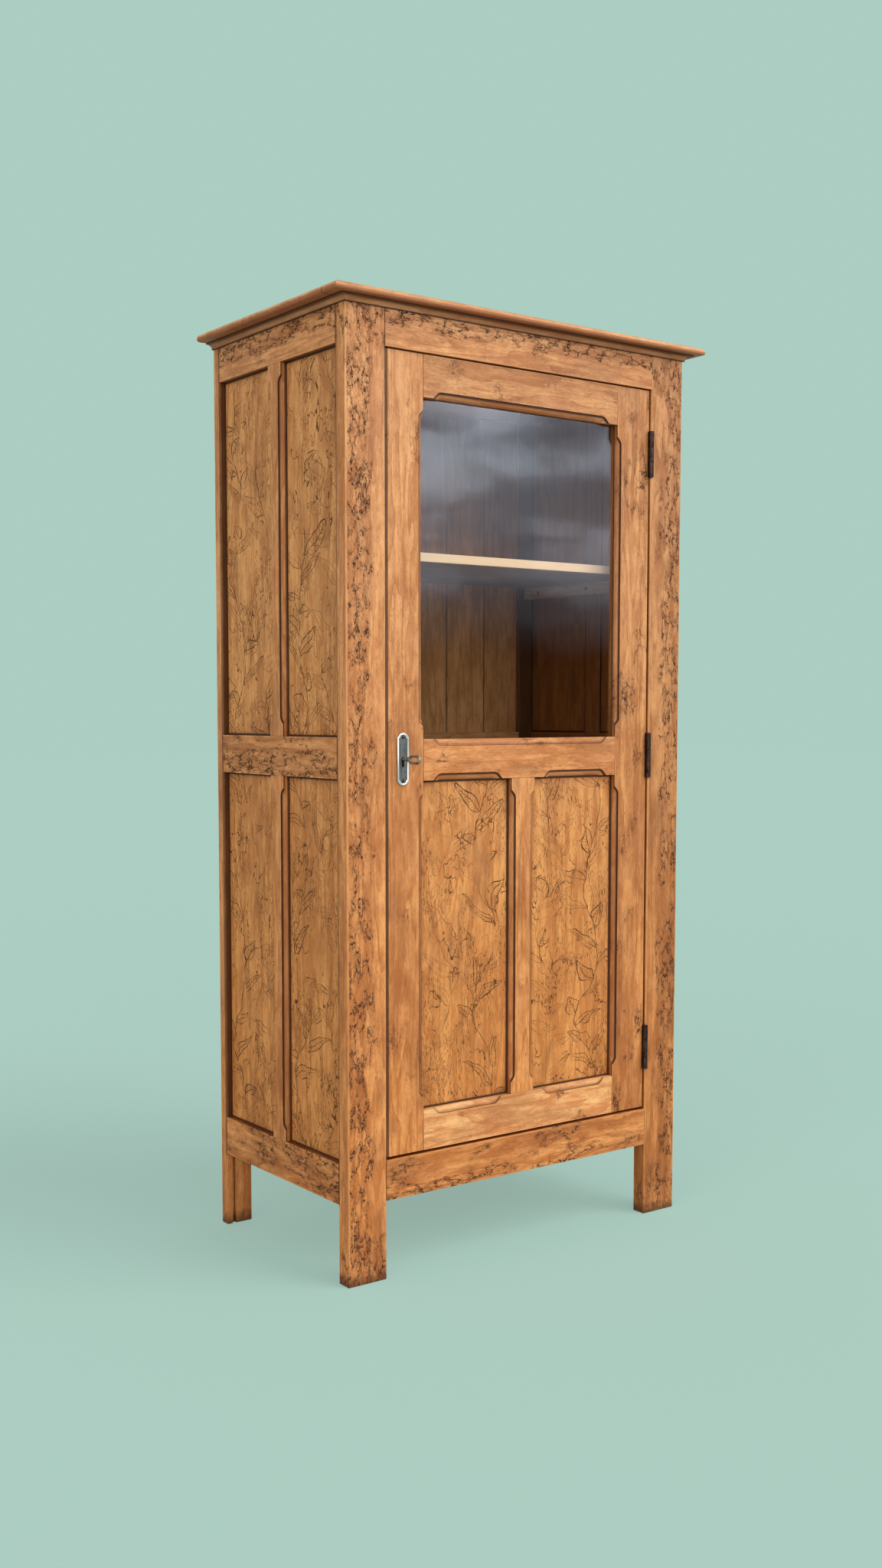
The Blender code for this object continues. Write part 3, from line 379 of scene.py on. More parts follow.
    def wood(self, colour, roughness, height, coat=0.03, coat_roughness=0.3):
        """Closes the finish with the low sheen of wood."""
        return self.surface(
            {
                "Base Color": colour,
                "Roughness": roughness,
                "Specular IOR Level": 0.2,
                "Normal": self.bump(height, PORE_DEPTH, 0.6),
                "Coat Weight": coat,
                "Coat Roughness": coat_roughness,
            }
        )

    def output(self, shader):
        self.node("ShaderNodeOutputMaterial", {"Surface": shader})
        return self.material


def dress(name, material):
    """Puts a finish on a node of the frame."""
    for slot in NODES[name].material_slots:
        slot.material = material


# Wood


def beech(finish, grain, light, deep, fleck):
    """Beech along the grain: broad tones, growth lines, fibres and short dark flecks.

    Gives the colour, the fibres and the flecks.
    """
    tone = finish.noise(grain, 0.045, 0.4, detail=5.0, roughness=0.6)
    mottle = finish.noise(grain, 0.016, 0.05, detail=5.0, roughness=0.66)
    growth = finish.noise(grain, 0.055, 0.5, detail=2.0)
    ring = (growth * 8) % 1
    fibre = finish.noise(grain, 0.0016, 0.09, detail=3.0)
    streak = finish.step(finish.noise(grain, 0.008, 0.4, detail=3.0), 0.5, 0.72)
    short = finish.noise(grain, 0.0012, 0.011, detail=1.0)
    flecks = finish.step(short, 0.58, 0.7)
    depth = finish.step(tone * 0.6 + mottle * 0.6 + ring ** 3 * 0.15 + fibre * 0.2, 0.55, 0.88)
    colour = finish.mix(depth, light, deep)
    return finish.mix(finish.clamped(flecks * 0.46 + streak * 0.16), colour, fleck), fibre, flecks


def paler_above_as_sheen(finish, place, colour, rich):
    """Richer towards the floor and paler higher up, where the paler wood is painted sheen."""
    foot = finish.step(finish.axes(place)[2], *SHEEN_HEIGHTS)
    return finish.mix(foot, colour, rich, "MULTIPLY")


def stained(finish, grain, place, colour, warm):
    """Browner figure with an edge to it, which shows in the lower half, where hands and mops have been."""
    figure = finish.step(finish.noise(grain, 0.06, 0.2, detail=4.0, roughness=0.6), 0.5, 0.57)
    low = finish.step(finish.axes(place)[2], *HANDLED)
    return finish.mix(figure * low * 0.3, colour, warm)


def toned(name, colour):
    """A colour in a board's own tone, which on some boards holds painted shade."""
    return [min(channel * BOARD_TONES_AND_SHADE.get(name, 1.0), PALEST) for channel in colour]


def worn(finish, name, place, colour, pale):
    """Lightens the long arrises of a board, where hands and cloths have rubbed it."""
    grain = grain_of(name)
    distances = []
    for axis, value, middle, half in zip(AXES, finish.axes(place), *box_of(name)):
        if axis != grain:
            distances.append(half - abs(value - middle))
    rub = finish.noise(place, 0.05, detail=3.0)
    edge = finish.step(finish.most(*distances) + rub * ARRIS_WANDER, *ARRIS)
    return finish.mix(edge * (0.85 if name.startswith("post_front") else 0.6), colour, pale)


def smudged(finish, grain, colour, dark, amount):
    """Grey-brown bloom and handling marks in cloudy patches, drawn out a little along the grain."""
    cloud = finish.noise(grain, 0.05, 0.14, detail=6.0, roughness=0.66)
    patch = finish.step(cloud, 0.48, 0.74) * amount
    return finish.mix(patch, colour, dark), patch


def grimed_and_shaded(finish, colour, dark):
    """Old wax and dust in the quirks and grooves of a piece, with painted shade from its own occlusion."""
    return finish.mix(finish.cavity(QUIRK_REACH) * 0.85, colour, dark)


def nicked(finish, grain, colour, blush, dark):
    """Pinkish patches where the wax has worn thin, and small dark nicks."""
    thin = finish.step(finish.noise(grain, 0.07, 0.16, detail=4.0, roughness=0.6), 0.48, 0.66)
    colour = finish.mix(thin * 0.25, colour, blush)
    nicks = finish.step(finish.noise(grain, 0.003, 0.01, detail=1.5), 0.73, 0.79)
    rubbed = finish.step(finish.noise(grain, 0.04, 0.09, detail=2.0), 0.46, 0.62)
    wiry = finish.step(abs(finish.noise(grain, 0.01, 0.04, detail=5.0, roughness=0.66) - 0.5), 0.02, 0.006)
    return finish.mix(finish.most(nicks * 0.7, wiry * rubbed * 0.28), colour, dark)


def in_keyhole(finish, place):
    """1 in the keyhole through the stile, which painted shade makes black."""
    middle = box_of("escutcheon")[0]
    x, _, z = finish.axes(place)
    aside = abs(x - middle.x) - KEYHOLE_SIZE[0] / 2
    above = abs(z - (middle.z - KEYHOLE_DROP)) - KEYHOLE_SIZE[1] / 2
    return finish.step(finish.most(aside, above), *KEYHOLE_EDGE)


def moulded(name):
    """Whether a piece of the framing has stopped mouldings along its edges."""
    return "muntin" in name or name.startswith(("door_stile", "door_rail"))


def moulding_shade(finish, name, place, colour, dark, warm):
    """Painted shade across each stopped moulding, darkest in its quirk and at its foot, found by its depth
    behind the face.

    The edges that face up catch the light, and get less of it.
    """
    if not moulded(name):
        return colour
    low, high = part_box(name)
    x, y, z = finish.axes(place)
    amount = 1.0
    if name.startswith("side_"):
        depth = max(abs(low.x), abs(high.x)) - abs(x)
    else:
        depth = y - low.y
        rims = [DOOR_HIGH.x - x, x - DOOR_LOW.x, DOOR_HIGH.z - z, z - DOOR_LOW.z]
        amount = finish.step(finish.least(*rims), *DOOR_RIM)
        if "rail" in name:
            middle = (low.z + high.z) / 2
            amount = amount * (1 - finish.step(z, *beyond(middle, UP_FACING_LIT)) * 0.65)
    face = finish.step(depth, *MOULDING_FACE)
    quirk = face * finish.step(depth, *MOULDING_QUIRK) * 0.9
    foot = finish.step(depth, *MOULDING_FOOT) * finish.step(depth, *MOULDING_END) * 0.75
    colour = finish.mix(face * amount * 0.35, colour, warm)
    return finish.mix(finish.most(quirk, foot) * amount, colour, dark)


def post_lines(finish, name, place, colour, dark):
    """The dark joint down the side of a post, where the rails and panels enter it, with painted shade beside
    it.
    """
    low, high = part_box(name)
    _, y, z = finish.axes(place)
    gap = y - low.y if "back" in name else high.y - y
    joint = finish.step(gap, *JOINT_SHADE) * finish.step(z, FOOT_TOP - SKIN, FOOT_TOP)
    return finish.mix(joint * 0.75, colour, dark)


def shoulder_lines(finish, name, place, colour, dark):
    """The thin dark joint where a rail's shoulders meet the posts or stiles."""
    if name.startswith("post_"):
        return post_lines(finish, name, place, colour, dark)
    if "rail" not in name:
        return colour
    x, y, _ = finish.axes(place)
    if name.startswith("side_"):
        distances = [abs(y - meet) for meet in SIDE_SHOULDERS]
    else:
        shoulder = SHOULDERS[name.split("_")[0]]
        distances = [abs(x - meet) for meet in (-shoulder, shoulder)]
    joint = finish.most(*[finish.step(distance, *SHOULDER_LINE) for distance in distances])
    return finish.mix(joint * 0.45, colour, dark)


def floor_dirt(finish, place, colour, dark):
    """Dirt and damp that rise a little way up the feet."""
    z = finish.axes(place)[2]
    rise = finish.noise(place, 0.014, detail=3.0) * DIRT_RISE
    return finish.mix(finish.step(z - rise, *FLOOR_DIRT) * 0.75, colour, dark)


def outer_skin(finish, name, place):
    """1 on the face of a board that the room sees, and 0 from a skin's depth inwards."""
    middle, half = box_of(name)
    x, y, z = finish.axes(place)
    deep = REVEAL if moulded(name) else SKIN
    side = finish.step(abs(x), abs(middle.x) + half.x - deep, abs(middle.x) + half.x - deep + SKIN / 2)
    front = finish.step(y, middle.y - half.y + deep, middle.y - half.y + deep - SKIN / 2)
    rear = finish.step(y, middle.y + half.y - SKIN, middle.y + half.y - SKIN / 2)
    if name.startswith("post_"):
        foot = finish.step(z, FOOT_TOP, FOOT_TOP - SKIN)
        return finish.most(side, rear if "back" in name else front, foot)
    return side if name.startswith("side_") else front


def shaded_inside(finish, name, place, colour, shade):
    """Duller, never-waxed wood with painted shade on the faces inside the cupboard and in the reveals."""
    return finish.mix(1 - outer_skin(finish, name, place), colour, shade, "MULTIPLY")


def scorched(finish, grain, colour, reach, dark, warm):
    """Wiry, jagged veins burnt into the wood where reach is above 0, over browned patches."""
    field = finish.noise(grain, 0.02, 0.045, detail=6.0, roughness=0.64)
    fine = finish.noise(grain, 0.008, 0.016, detail=4.0, roughness=0.62)
    patches = finish.noise(grain, 0.03, 0.07, detail=3.0)
    burnt = finish.step(patches * 1.2 + reach * 0.6, 0.8, 1.06)
    pressure = finish.step(finish.noise(grain, 0.008, detail=3.0), 0.34, 0.6) * 0.6 + 0.4
    off = abs(field - 0.5)
    veins = finish.step(off, 0.026, 0.015)
    hairs = finish.step(abs(fine - 0.5), 0.022, 0.012) * finish.step(off, 0.16, 0.05)
    brown = finish.step(off, 0.12, 0.02)
    colour = finish.mix(brown * burnt * 0.18, colour, warm)
    mark = finish.clamped(finish.most(veins, hairs * 0.7) * burnt * pressure)
    return finish.mix(mark, colour, dark), mark


def burnt_reach(finish, name, place):
    """Where a piece of the framing is scorched, from 0 to 1, or None where it is clean."""
    kind = name.replace("_left", "").replace("_right", "")
    x, _, z = finish.axes(place)
    low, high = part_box(name)
    start, full = SCORCH_MARGINS.get(kind, (0.0, 0.0))
    rising = (low.z + start, high.z - full)
    falling = (high.z - start, low.z + full)
    drift = finish.step(finish.noise(place, 0.09, detail=3.0), 0.3, 0.6)
    if kind == "post_front":
        inside = HALF_WIDTH - abs(x)
        band = finish.step(inside, *POST_BAND) * (drift * 0.4 + 0.6) * finish.step(inside, *POST_ARRIS)
        return finish.most(band, finish.step(z, *POST_HEAD) * 0.8, finish.step(z, *POST_FOOT) * 0.8)
    if kind == "front_rail_top":
        return finish.most(finish.step(z, *rising), drift * 0.35)
    if kind == "front_rail_bottom":
        return finish.most(finish.step(z, *falling) * 0.7, drift * 0.6)
    if kind == "side_rail_top":
        return finish.most(finish.step(z, *rising), drift * 0.45)
    if kind == "side_rail_middle":
        return drift * 0.4 + finish.step(z, *falling) * 0.6 + 0.2
    if kind == "side_rail_bottom":
        return drift * 0.5 + 0.3
    if kind in ("door_stile", "door_rail_top"):
        amount = 0.3 if kind == "door_rail_top" else 0.5
        return finish.step(finish.noise(place, 0.12, detail=3.0), 0.4, 0.6) * amount
    if kind.startswith("door_rail"):
        return finish.step(finish.noise(place, 0.1, detail=3.0), 0.45, 0.65) * 0.45
    return None


def framing_finish(name, seed, tones):
    """The waxed beech of posts, rails, stiles and muntins, scorched where that piece is."""
    finish = Finish(f"waxed_beech_{name}")
    place = finish.place()
    grain = finish.grain(place, grain_of(name), seed)
    light, deep = toned(name, tones.frame_light), toned(name, tones.frame_deep)
    colour, fibre, flecks = beech(finish, grain, light, deep, tones.fleck)
    colour, patch = smudged(finish, grain, colour, tones.smudge, 0.14 if name in PALE else 0.6)
    colour = nicked(finish, grain, colour, tones.blush, tones.grime)
    colour = stained(finish, grain, place, colour, tones.burn_warm)
    colour = worn(finish, name, place, colour, tones.worn)
    if name not in PALE:
        colour = paler_above_as_sheen(finish, place, colour, tones.rich)
    colour = shaded_inside(finish, name, place, colour, tones.inner)
    colour = grimed_and_shaded(finish, colour, tones.grime)
    if name == KEYHOLE_STILE:
        # Painted shade along the closing edge, in the gap between the door and the post
        edge = finish.step(finish.axes(place)[0], *beyond(DOOR_LOW.x, GAP_SHADE_BAND))
        colour = finish.mix(edge * 0.85, colour, tones.grime)
        # Painted shade makes the keyhole black
        colour = finish.mix(in_keyhole(finish, place), colour, tones.soot)
    colour = moulding_shade(finish, name, place, colour, tones.grime, tones.burn_warm)
    colour = shoulder_lines(finish, name, place, colour, tones.grime)
    colour = floor_dirt(finish, place, colour, tones.grime)
    reach = burnt_reach(finish, name, place)
    height = fibre * 0.5 - flecks * 0.4
    if reach is not None:
        reach = reach * outer_skin(finish, name, place)
        colour, mark = scorched(finish, grain, colour, reach, tones.burn_dark, tones.burn_warm)
        height = height - mark * 0.8
        patch = patch + mark
    return finish.wood(colour, 0.44 + fibre * 0.12 + patch * 0.3, height)


def leaf(finish, out, start, chances, line, sizes):
    """One leaf of a trail, as the strokes of its outline, midrib and ribs, leaning out from its stalk."""
    lean = chances[0] * 0.75 + 0.5
    length = (chances[1] * 0.9 + 0.55) * sizes.leaf_length
    sine, cosine = finish.math("SINE", lean), finish.math("COSINE", lean)
    along = out * sine + start * cosine
    aside = abs(start * sine - out * cosine)
    share = along / length
    swell = finish.math("SINE", finish.clamped(share) ** 0.8 * math.pi)
    half = swell * (chances[2] * 0.6 + 0.7) * sizes.leaf_width / 2
    rib = (along - aside * 0.8) % sizes.leaf_rib - sizes.leaf_rib / 2
    ribs = finish.line(rib, line * 0.7) * finish.step(aside - half, 0.0, -line) * 0.6
    outline = finish.line(aside - half, line)
    midrib = finish.line(aside, line * 0.8) * finish.step(share, 0.92, 0.8)
    whole = finish.step(share, 0.0, 0.03) * finish.step(share, 1.0, 0.98)
    drawn = whole * finish.step(chances[2], 0.1, 0.14)
    return finish.most(outline, midrib, ribs) * drawn


def leaf_trail(finish, across, along, seed, sizes):
    """A wandering stem with pointed leaves of all sizes to either side, as strokes from 0 to 1."""
    turn = 2 * math.pi / sizes.trail_period
    sway = finish.math("SINE", along * turn + seed * 1.7) * sizes.trail_sway
    off = across - sway
    strokes = [finish.line(off, sizes.burn_line * 1.1)]
    for side in (-1, 1):
        run = along + sizes.leaf_pitch * (0.5 + 0.5 * side) / 2 + seed * 0.013
        cell = finish.math("FLOOR", run / sizes.leaf_pitch)
        start = run - cell * sizes.leaf_pitch
        chances = finish.axes(finish.chance(cell + seed * 7.3 + side, "Color"))
        strokes.append(leaf(finish, off * side, start, chances, sizes.burn_line, sizes))
    return finish.most(*strokes)


def panel_finish(name, seed, tones, sizes):
    """A thin beech panel with trails of leaves and wiry tendrils drawn on it with a hot point."""
    finish = Finish(f"drawn_panel_{name}")
    place = finish.place()
    middle, half = box_of(name)
    wide = 1 if name.startswith("side_") else 0
    grain = finish.grain(place, "Z", seed)
    colour, fibre, flecks = beech(finish, grain, tones.panel_light, tones.panel_deep, tones.fleck)
    colour, patch = smudged(finish, grain, colour, tones.smudge, 0.5)
    colour = paler_above_as_sheen(finish, place, colour, tones.rich)
    moved = finish.mapped(place, location=seed * SEED_STEP)
    shaken = finish.shaken(finish.shaken(finish.shaken(moved, 0.16, 0.09), 0.04, 0.018), 0.006, 0.002)
    back = finish.mapped(shaken, location=-seed * SEED_STEP)
    numbers = finish.axes(back)
    across = numbers[wide] - middle[wide]
    along = numbers[2] - (middle.z - half.z)
    trails = []
    for shift in TRAIL_SHIFTS:
        trails.append(leaf_trail(finish, across + shift, along + shift, seed + shift, sizes))
    field = finish.noise(moved, 0.04, 0.07, detail=3.0, roughness=0.5)
    patches = finish.step(finish.noise(moved, 0.06, 0.1, detail=2.0), 0.42, 0.54)
    tendrils = finish.step(abs(field - 0.5), 0.009, 0.004) * patches
    hatched = finish.step(finish.noise(moved, 0.05, 0.12, detail=3.0), 0.44, 0.58)
    short = finish.noise(finish.shaken(moved, 0.02, 0.008), 0.0019, 0.012)
    hatch = finish.step(short, 0.56, 0.64) * hatched * 0.8
    pressure = finish.step(finish.noise(moved, 0.018, detail=3.0), 0.28, 0.52) * 0.65 + 0.35
    drawn = finish.step(finish.noise(moved, 0.09, 0.14, detail=2.0), 0.36, 0.5)
    strokes = finish.most(trails[0] * drawn, trails[1] * (1 - drawn * 0.6), tendrils, hatch)
    mark = finish.clamped(strokes * pressure) * outer_skin(finish, name, place)
    plain = finish.axes(place)
    aside = half[wide] - abs(plain[wide] - middle[wide])
    ends = half.z - abs(plain[2] - middle.z)
    rim = finish.least(aside, ends) - GROOVE
    # Painted shade in the recess beside the frame, and a dark painted shadow line at the panel's edge
    edge = finish.step(rim + (fibre - 0.5) * PANEL_WANDER, *PANEL_RECESS_SHADE)
    seam_shade = finish.step(rim, *JOINT_SHADE)
    colour = finish.mix(edge * 0.25, colour, tones.burn_warm)
    colour = finish.mix(seam_shade * 0.95, colour, tones.grime)
    colour = finish.mix(mark * 0.95, colour, tones.burn_line)
    colour = shaded_inside(finish, name, place, colour, tones.inner)
    roughness = 0.46 + fibre * 0.1 + patch * 0.2 + mark * 0.3
    height = fibre * 0.35 - flecks * 0.2 - mark * 0.9
    return finish.wood(colour, roughness, height, coat_roughness=0.35)


def cornice_shade_lines(finish, name, place, colour, dark, warm):
    """Painted shade under the nosing of the slab and along the top and the foot of the bed moulding, and a
    dark joint behind the front strip.
    """
    low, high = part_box(name)
    _, y, z = finish.axes(place)
    if name.startswith("bed_"):
        head = finish.step(z, *beyond(high.z, BED_HEAD))
        foot = finish.step(z, *beyond(low.z, BED_FOOT))
        return finish.mix(finish.most(head, foot) * 0.95, colour, dark)
    colour = finish.mix(finish.step(z, *beyond(low.z, NOSING_SHADOW)) * 0.75, colour, warm)
    joint = finish.step(abs(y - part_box("top_front_strip")[1].y), *TOP_JOINT)
    return finish.mix(joint * 0.8, colour, dark)


def shade_under_shelf(finish, place):
    """1 on the underside of the shelf, which gets painted shade."""
    return finish.step(finish.axes(place)[2], *beyond(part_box("shelf")[0].z, THIN_SKIN))


def shelf_edge(finish, place):
    """1 on the planed front edge of the shelf."""
    return finish.step(finish.axes(place)[1], *beyond(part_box("shelf")[0].y, THIN_SKIN))


def shade_above_shelf(finish, place):
    """From 0 to 1 up the inner face of the back above the shelf, which gets painted shade."""
    _, y, z = finish.axes(place)
    inner = finish.step(y, *beyond(BACK_LOW.y, THIN_SKIN))
    return inner * finish.step(z, *beyond(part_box("shelf")[1].z, BACK_SHADE_RISE))


def boarded(finish, place, colour, shade, dark):
    """A tone of its own for each board of the back, and a dark line at the joints."""
    run = (finish.axes(place)[0] - BACK_LOW.x) * (BOARD_COUNT / BACK_WIDTH)
    cell = finish.math("FLOOR", run)
    colour = finish.mix(finish.chance(cell, "Value") * 0.2, colour, shade, "MULTIPLY")
    joint = finish.step(abs(run - cell - 0.5), *BOARD_JOINT)
    return finish.mix(joint * 0.7, colour, dark)


def plain_finish(name, seed, light, deep, tones, gloss):
    """Wood without burning: the top, the shelf, the beads and the back."""
    finish = Finish(f"plain_wood_{name}")
    place = finish.place()
    grain = finish.grain(place, grain_of(name), seed)
    colour, fibre, flecks = beech(finish, grain, toned(name, light), toned(name, deep), tones.fleck)
    colour, patch = smudged(finish, grain, colour, tones.smudge, 0.35)
    if gloss:
        colour = worn(finish, name, place, colour, tones.worn)
        colour = grimed_and_shaded(finish, colour, tones.grime)
    # Painted shade on the beads round the glass
    if name in BEADS:
        colour = finish.mix(1.0, colour, tones.inner, "MULTIPLY")
    if name == "back_boards":
        colour = boarded(finish, place, colour, tones.inner, tones.grime)
        colour = finish.mix(shade_above_shelf(finish, place), colour, tones.inner, "MULTIPLY")
    if name == "shelf":
        # Painted shade under the shelf
        colour = finish.mix(shade_under_shelf(finish, place), colour, tones.inner, "MULTIPLY")
        colour = finish.mix(shelf_edge(finish, place) * 0.8, colour, tones.shelf_edge)
    if name in TOPS:
        colour = cornice_shade_lines(finish, name, place, colour, tones.grime, tones.burn_warm)
    roughness = (0.44 if gloss else 0.62) + fibre * 0.12 + patch * 0.2
    return finish.wood(colour, roughness, fibre * 0.6 - flecks * 0.3, coat=0.03 if gloss else 0.0)


# Metal and glass


def metal_finish(name, dark, bright, rust, shine, aged, rim_of=None):
    """Old metal: dark in the hollows, rubbed bright in places, with a plate's rim rubbed and brightened by a
    painted highlight, and rust between.
    """
    finish = Finish(name)
    place = finish.place()
    cloud = finish.noise(place, 0.011, detail=5.0, roughness=0.62)
    fine = finish.noise(place, 0.0016, detail=3.0)
    scratch = finish.noise(place, 0.0009, 0.03, detail=2.0)
    rubbed = finish.step(cloud * aged + scratch * 0.5 + (1 - aged) * 0.5, 0.5, 0.95)
    brown = finish.step(finish.noise(place, 0.006, detail=4.0, roughness=0.7), 0.54, 0.68) * aged
    dirt = brown * 0.6 + finish.cavity(METAL_HOLLOW)
    # A plate's rim is rubbed and also holds a painted highlight
    if rim_of:
        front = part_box(rim_of)[0].y
        rim = finish.step(finish.axes(place)[1], front + PLATE_SINK * 0.3, front)
        rubbed = finish.most(rubbed * 0.4, rim)
        dirt = dirt * 0.5 + finish.cavity(PLATE_HOLLOW) * (1 - rim)
    colour = finish.mix(rubbed, dark, bright)
    colour = finish.mix(finish.clamped(dirt), colour, rust)
    return finish.surface(
        {
            "Base Color": colour,
            "Metallic": 0.92 - brown * 0.5,
            "Roughness": shine + fine * 0.16 + brown * 0.2,
            "Normal": finish.bump(fine * 0.4 + cloud * 0.3 + scratch * 0.3, 0.0002, 0.4),
        }
    )


def glass_finish(tint):
    """Clear old sheet glass, a little uneven, which lets the light through to the shelf."""
    finish = Finish("old_sheet_glass")
    wave = finish.noise(finish.place(), 0.11, detail=1.0)
    inputs = {
        "Base Color": rgba(tint),
        "Roughness": 0.0,
        "IOR": 1.46,
        "Transmission Weight": 1.0,
        "Normal": finish.bump(wave, 0.001, 0.25),
    }
    glass = finish.node("ShaderNodeBsdfPrincipled", inputs, "BSDF")
    clear = finish.node("ShaderNodeBsdfTransparent", {"Color": rgba(tint)}, "BSDF")
    lighting = finish.rays("Is Shadow Ray", "Is Diffuse Ray")
    return finish.output(finish.node("ShaderNodeMixShader", {0: lighting, 1: glass, 2: clear}))


# Fasteners


def choose_faces(obj, wanted):
    """Selects the faces of a piece in edit mode that a test on their middle and normal picks."""
    bpy.ops.mesh.select_mode(type="FACE")
    bpy.ops.mesh.select_all(action="DESELECT")
    shape = bmesh.from_edit_mesh(obj.data)
    for face in shape.faces:
        face.select = wanted(face.calc_center_median(), face.normal)
    shape.select_flush_mode()
    bmesh.update_edit_mesh(obj.data)


def linked(name, mesh):
    """A new piece with this mesh, selected beside what is selected already."""
    piece = bpy.data.objects.new(name, mesh)
    bpy.context.collection.objects.link(piece)
    piece.select_set(True)
    return piece


def painted(piece, material):
    """Gives a new piece its one material."""
    piece.data.materials.clear()
    piece.data.materials.append(material)


def copied(node, name, weld):
    """A merged copy of a node as a new piece, in edit mode."""
    bpy.ops.object.select_all(action="DESELECT")
    copy = linked(name, NODES[node].data.copy())
    bpy.context.view_layer.objects.active = copy
    bpy.ops.object.mode_set(mode="EDIT")
    bpy.ops.mesh.select_all(action="SELECT")
    bpy.ops.mesh.remove_doubles(threshold=weld)
    bpy.ops.mesh.dissolve_limited(angle_limit=math.radians(1))
    return copy


def start_round(name, radius, height, sides):
    """A new round blank, in edit mode, standing on the ground plane."""
    bpy.ops.mesh.primitive_cylinder_add(
        vertices=sides, radius=radius, depth=height, location=(0, 0, height / 2), end_fill_type="NGON"
    )
    blank = bpy.context.active_object
    blank.name = name
    bpy.ops.object.transform_apply(location=True, rotation=True, scale=True)
    bpy.ops.object.mode_set(mode="EDIT")
    return blank


def step_up(radius, height, steps):
    """Turns the chosen face into rings, each a share of the radius inwards and of the height up."""
    for inwards, up in steps:
        bpy.ops.mesh.inset(thickness=radius * inwards, depth=height * up)


def close_round(blank):
    """Leaves edit mode with the faces of a head turned outwards and shaded round."""
    bpy.ops.mesh.select_all(action="SELECT")
    bpy.ops.mesh.normals_make_consistent(inside=False)
    bpy.ops.object.mode_set(mode="OBJECT")
    bpy.ops.object.shade_smooth_by_angle(angle=math.radians(40))
    return blank


def slotted_screw(name, radius, tall=0.6, wide=0.3):
    """A low domed head, facing up, and its slot, as tall and as wide as these shares of the radius."""
    height = radius * tall
    slot = radius * wide
    head = start_round(name, radius, height * SCREW_RIM, SCREW_SIDES)
    choose_faces(head, lambda middle, normal: normal.z > 0.9)
    step_up(radius, height, SCREW_STEPS)
    for offset in (slot / 2, -slot / 2):
        bpy.ops.mesh.select_all(action="SELECT")
        bpy.ops.mesh.bisect(plane_co=(0, offset, 0), plane_no=(0, 1, 0))
    choose_faces(head, lambda middle, normal: normal.z > 0.3 and abs(middle.y) < slot / 2)
    bpy.ops.mesh.extrude_region_move(TRANSFORM_OT_translate={"value": (0, 0, -height * SCREW_CUT)})
    return close_round(head)


def nail_head(name, radius, height):
    """A flat wire-nail head with a hammered face, facing up."""
    head = start_round(name, radius, height, NAIL_SIDES)
    choose_faces(head, lambda middle, normal: normal.z > 0.9)
    step_up(radius, height, NAIL_STEPS)
    return close_round(head)


def fasteners(name, master, spots, body, slot):
    """Copies a head to each spot, given as a place, a way to face and a turn, as one piece on a body."""
    bpy.ops.object.select_all(action="DESELECT")
    copies = []
    for place, facing, turn in spots:
        copy = linked(name, master.data.copy())
        aim = Vector(facing).to_track_quat("Z", "Y").to_matrix().to_4x4()
        copy.data.transform(Matrix.Translation(place) @ aim @ Matrix.Rotation(turn, 4, "Z"))
        copies.append(copy)
    bpy.context.view_layer.objects.active = copies[0]
    bpy.ops.object.join()
    joined = bpy.context.active_object
    joined.name = name
    painted(joined, NODES[METAL[slot][0]].active_material)
    bpy.data.objects.remove(master)
    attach(joined, body)


# What a user may change


def length(name, description, default):
    return bpy.props.FloatProperty(name=name, description=description, default=default, unit="LENGTH")


def angle(name, description, degrees):
    turn = math.radians(degrees)
    return bpy.props.FloatProperty(name=name, description=description, default=turn, subtype="ANGLE")


def tone(name, description, default):
    return bpy.props.FloatVectorProperty(name=name, description=description, default=default, subtype="COLOR")


def number(name, description, default):
    return bpy.props.FloatProperty(name=name, description=description, default=default)


class CupboardSizes(bpy.types.PropertyGroup):
    """Sizes of the drawing on the panels, the key, its plate and the fasteners."""

    burn_line: length("Burnt line", "Width of a stroke of the hot point", 0.0017)
    leaf_length: length("Leaf length", "Length of a leaf of the trail", 0.066)
    leaf_width: length("Leaf width", "Widest part of a leaf", 0.021)
    leaf_pitch: length("Leaf pitch", "Height from one leaf to the next on the same side", 0.062)
    leaf_rib: length("Rib pitch", "Distance between the ribs of a leaf", 0.007)
    trail_sway: length("Stem sway", "How far the stem wanders to either side", 0.02)
    trail_period: length("Stem period", "Height of one full sway of the stem", 0.29)
    edge_angle: angle("Edge angle", "Edges sharper than this stay crisp", 38)
    weld: length("Weld", "Corners closer than this are one corner", 0.00001)
    plate_slope: length("Plate slope", "Width of the slopes of the plate's bead", 0.001)
    plate_rise: length("Plate rise", "Rise of the plate's bead", 0.0006)
    bow_length: length("Bow length", "Length of the key's bow", 0.036)
    bow_height: length("Bow height", "Height of the key's bow", 0.0175)
    bow_wire: length("Bow wire", "Radius of the wire of the key's bow", 0.0026)
    bow_neck: length("Bow neck", "Length of the shoulder between bow and shank", 0.006)
    plate_screw: length("Plate screw", "Head radius of the keyhole plate's screws", 0.0024)
    lock_screw: length("Lock screw", "Head radius of the lock's screws", 0.0032)
    cleat_screw: length("Cleat screw", "Head radius of the screws in the shelf cleats", 0.0038)
    nail: length("Nail", "Head radius of the nails in the back", 0.0028)


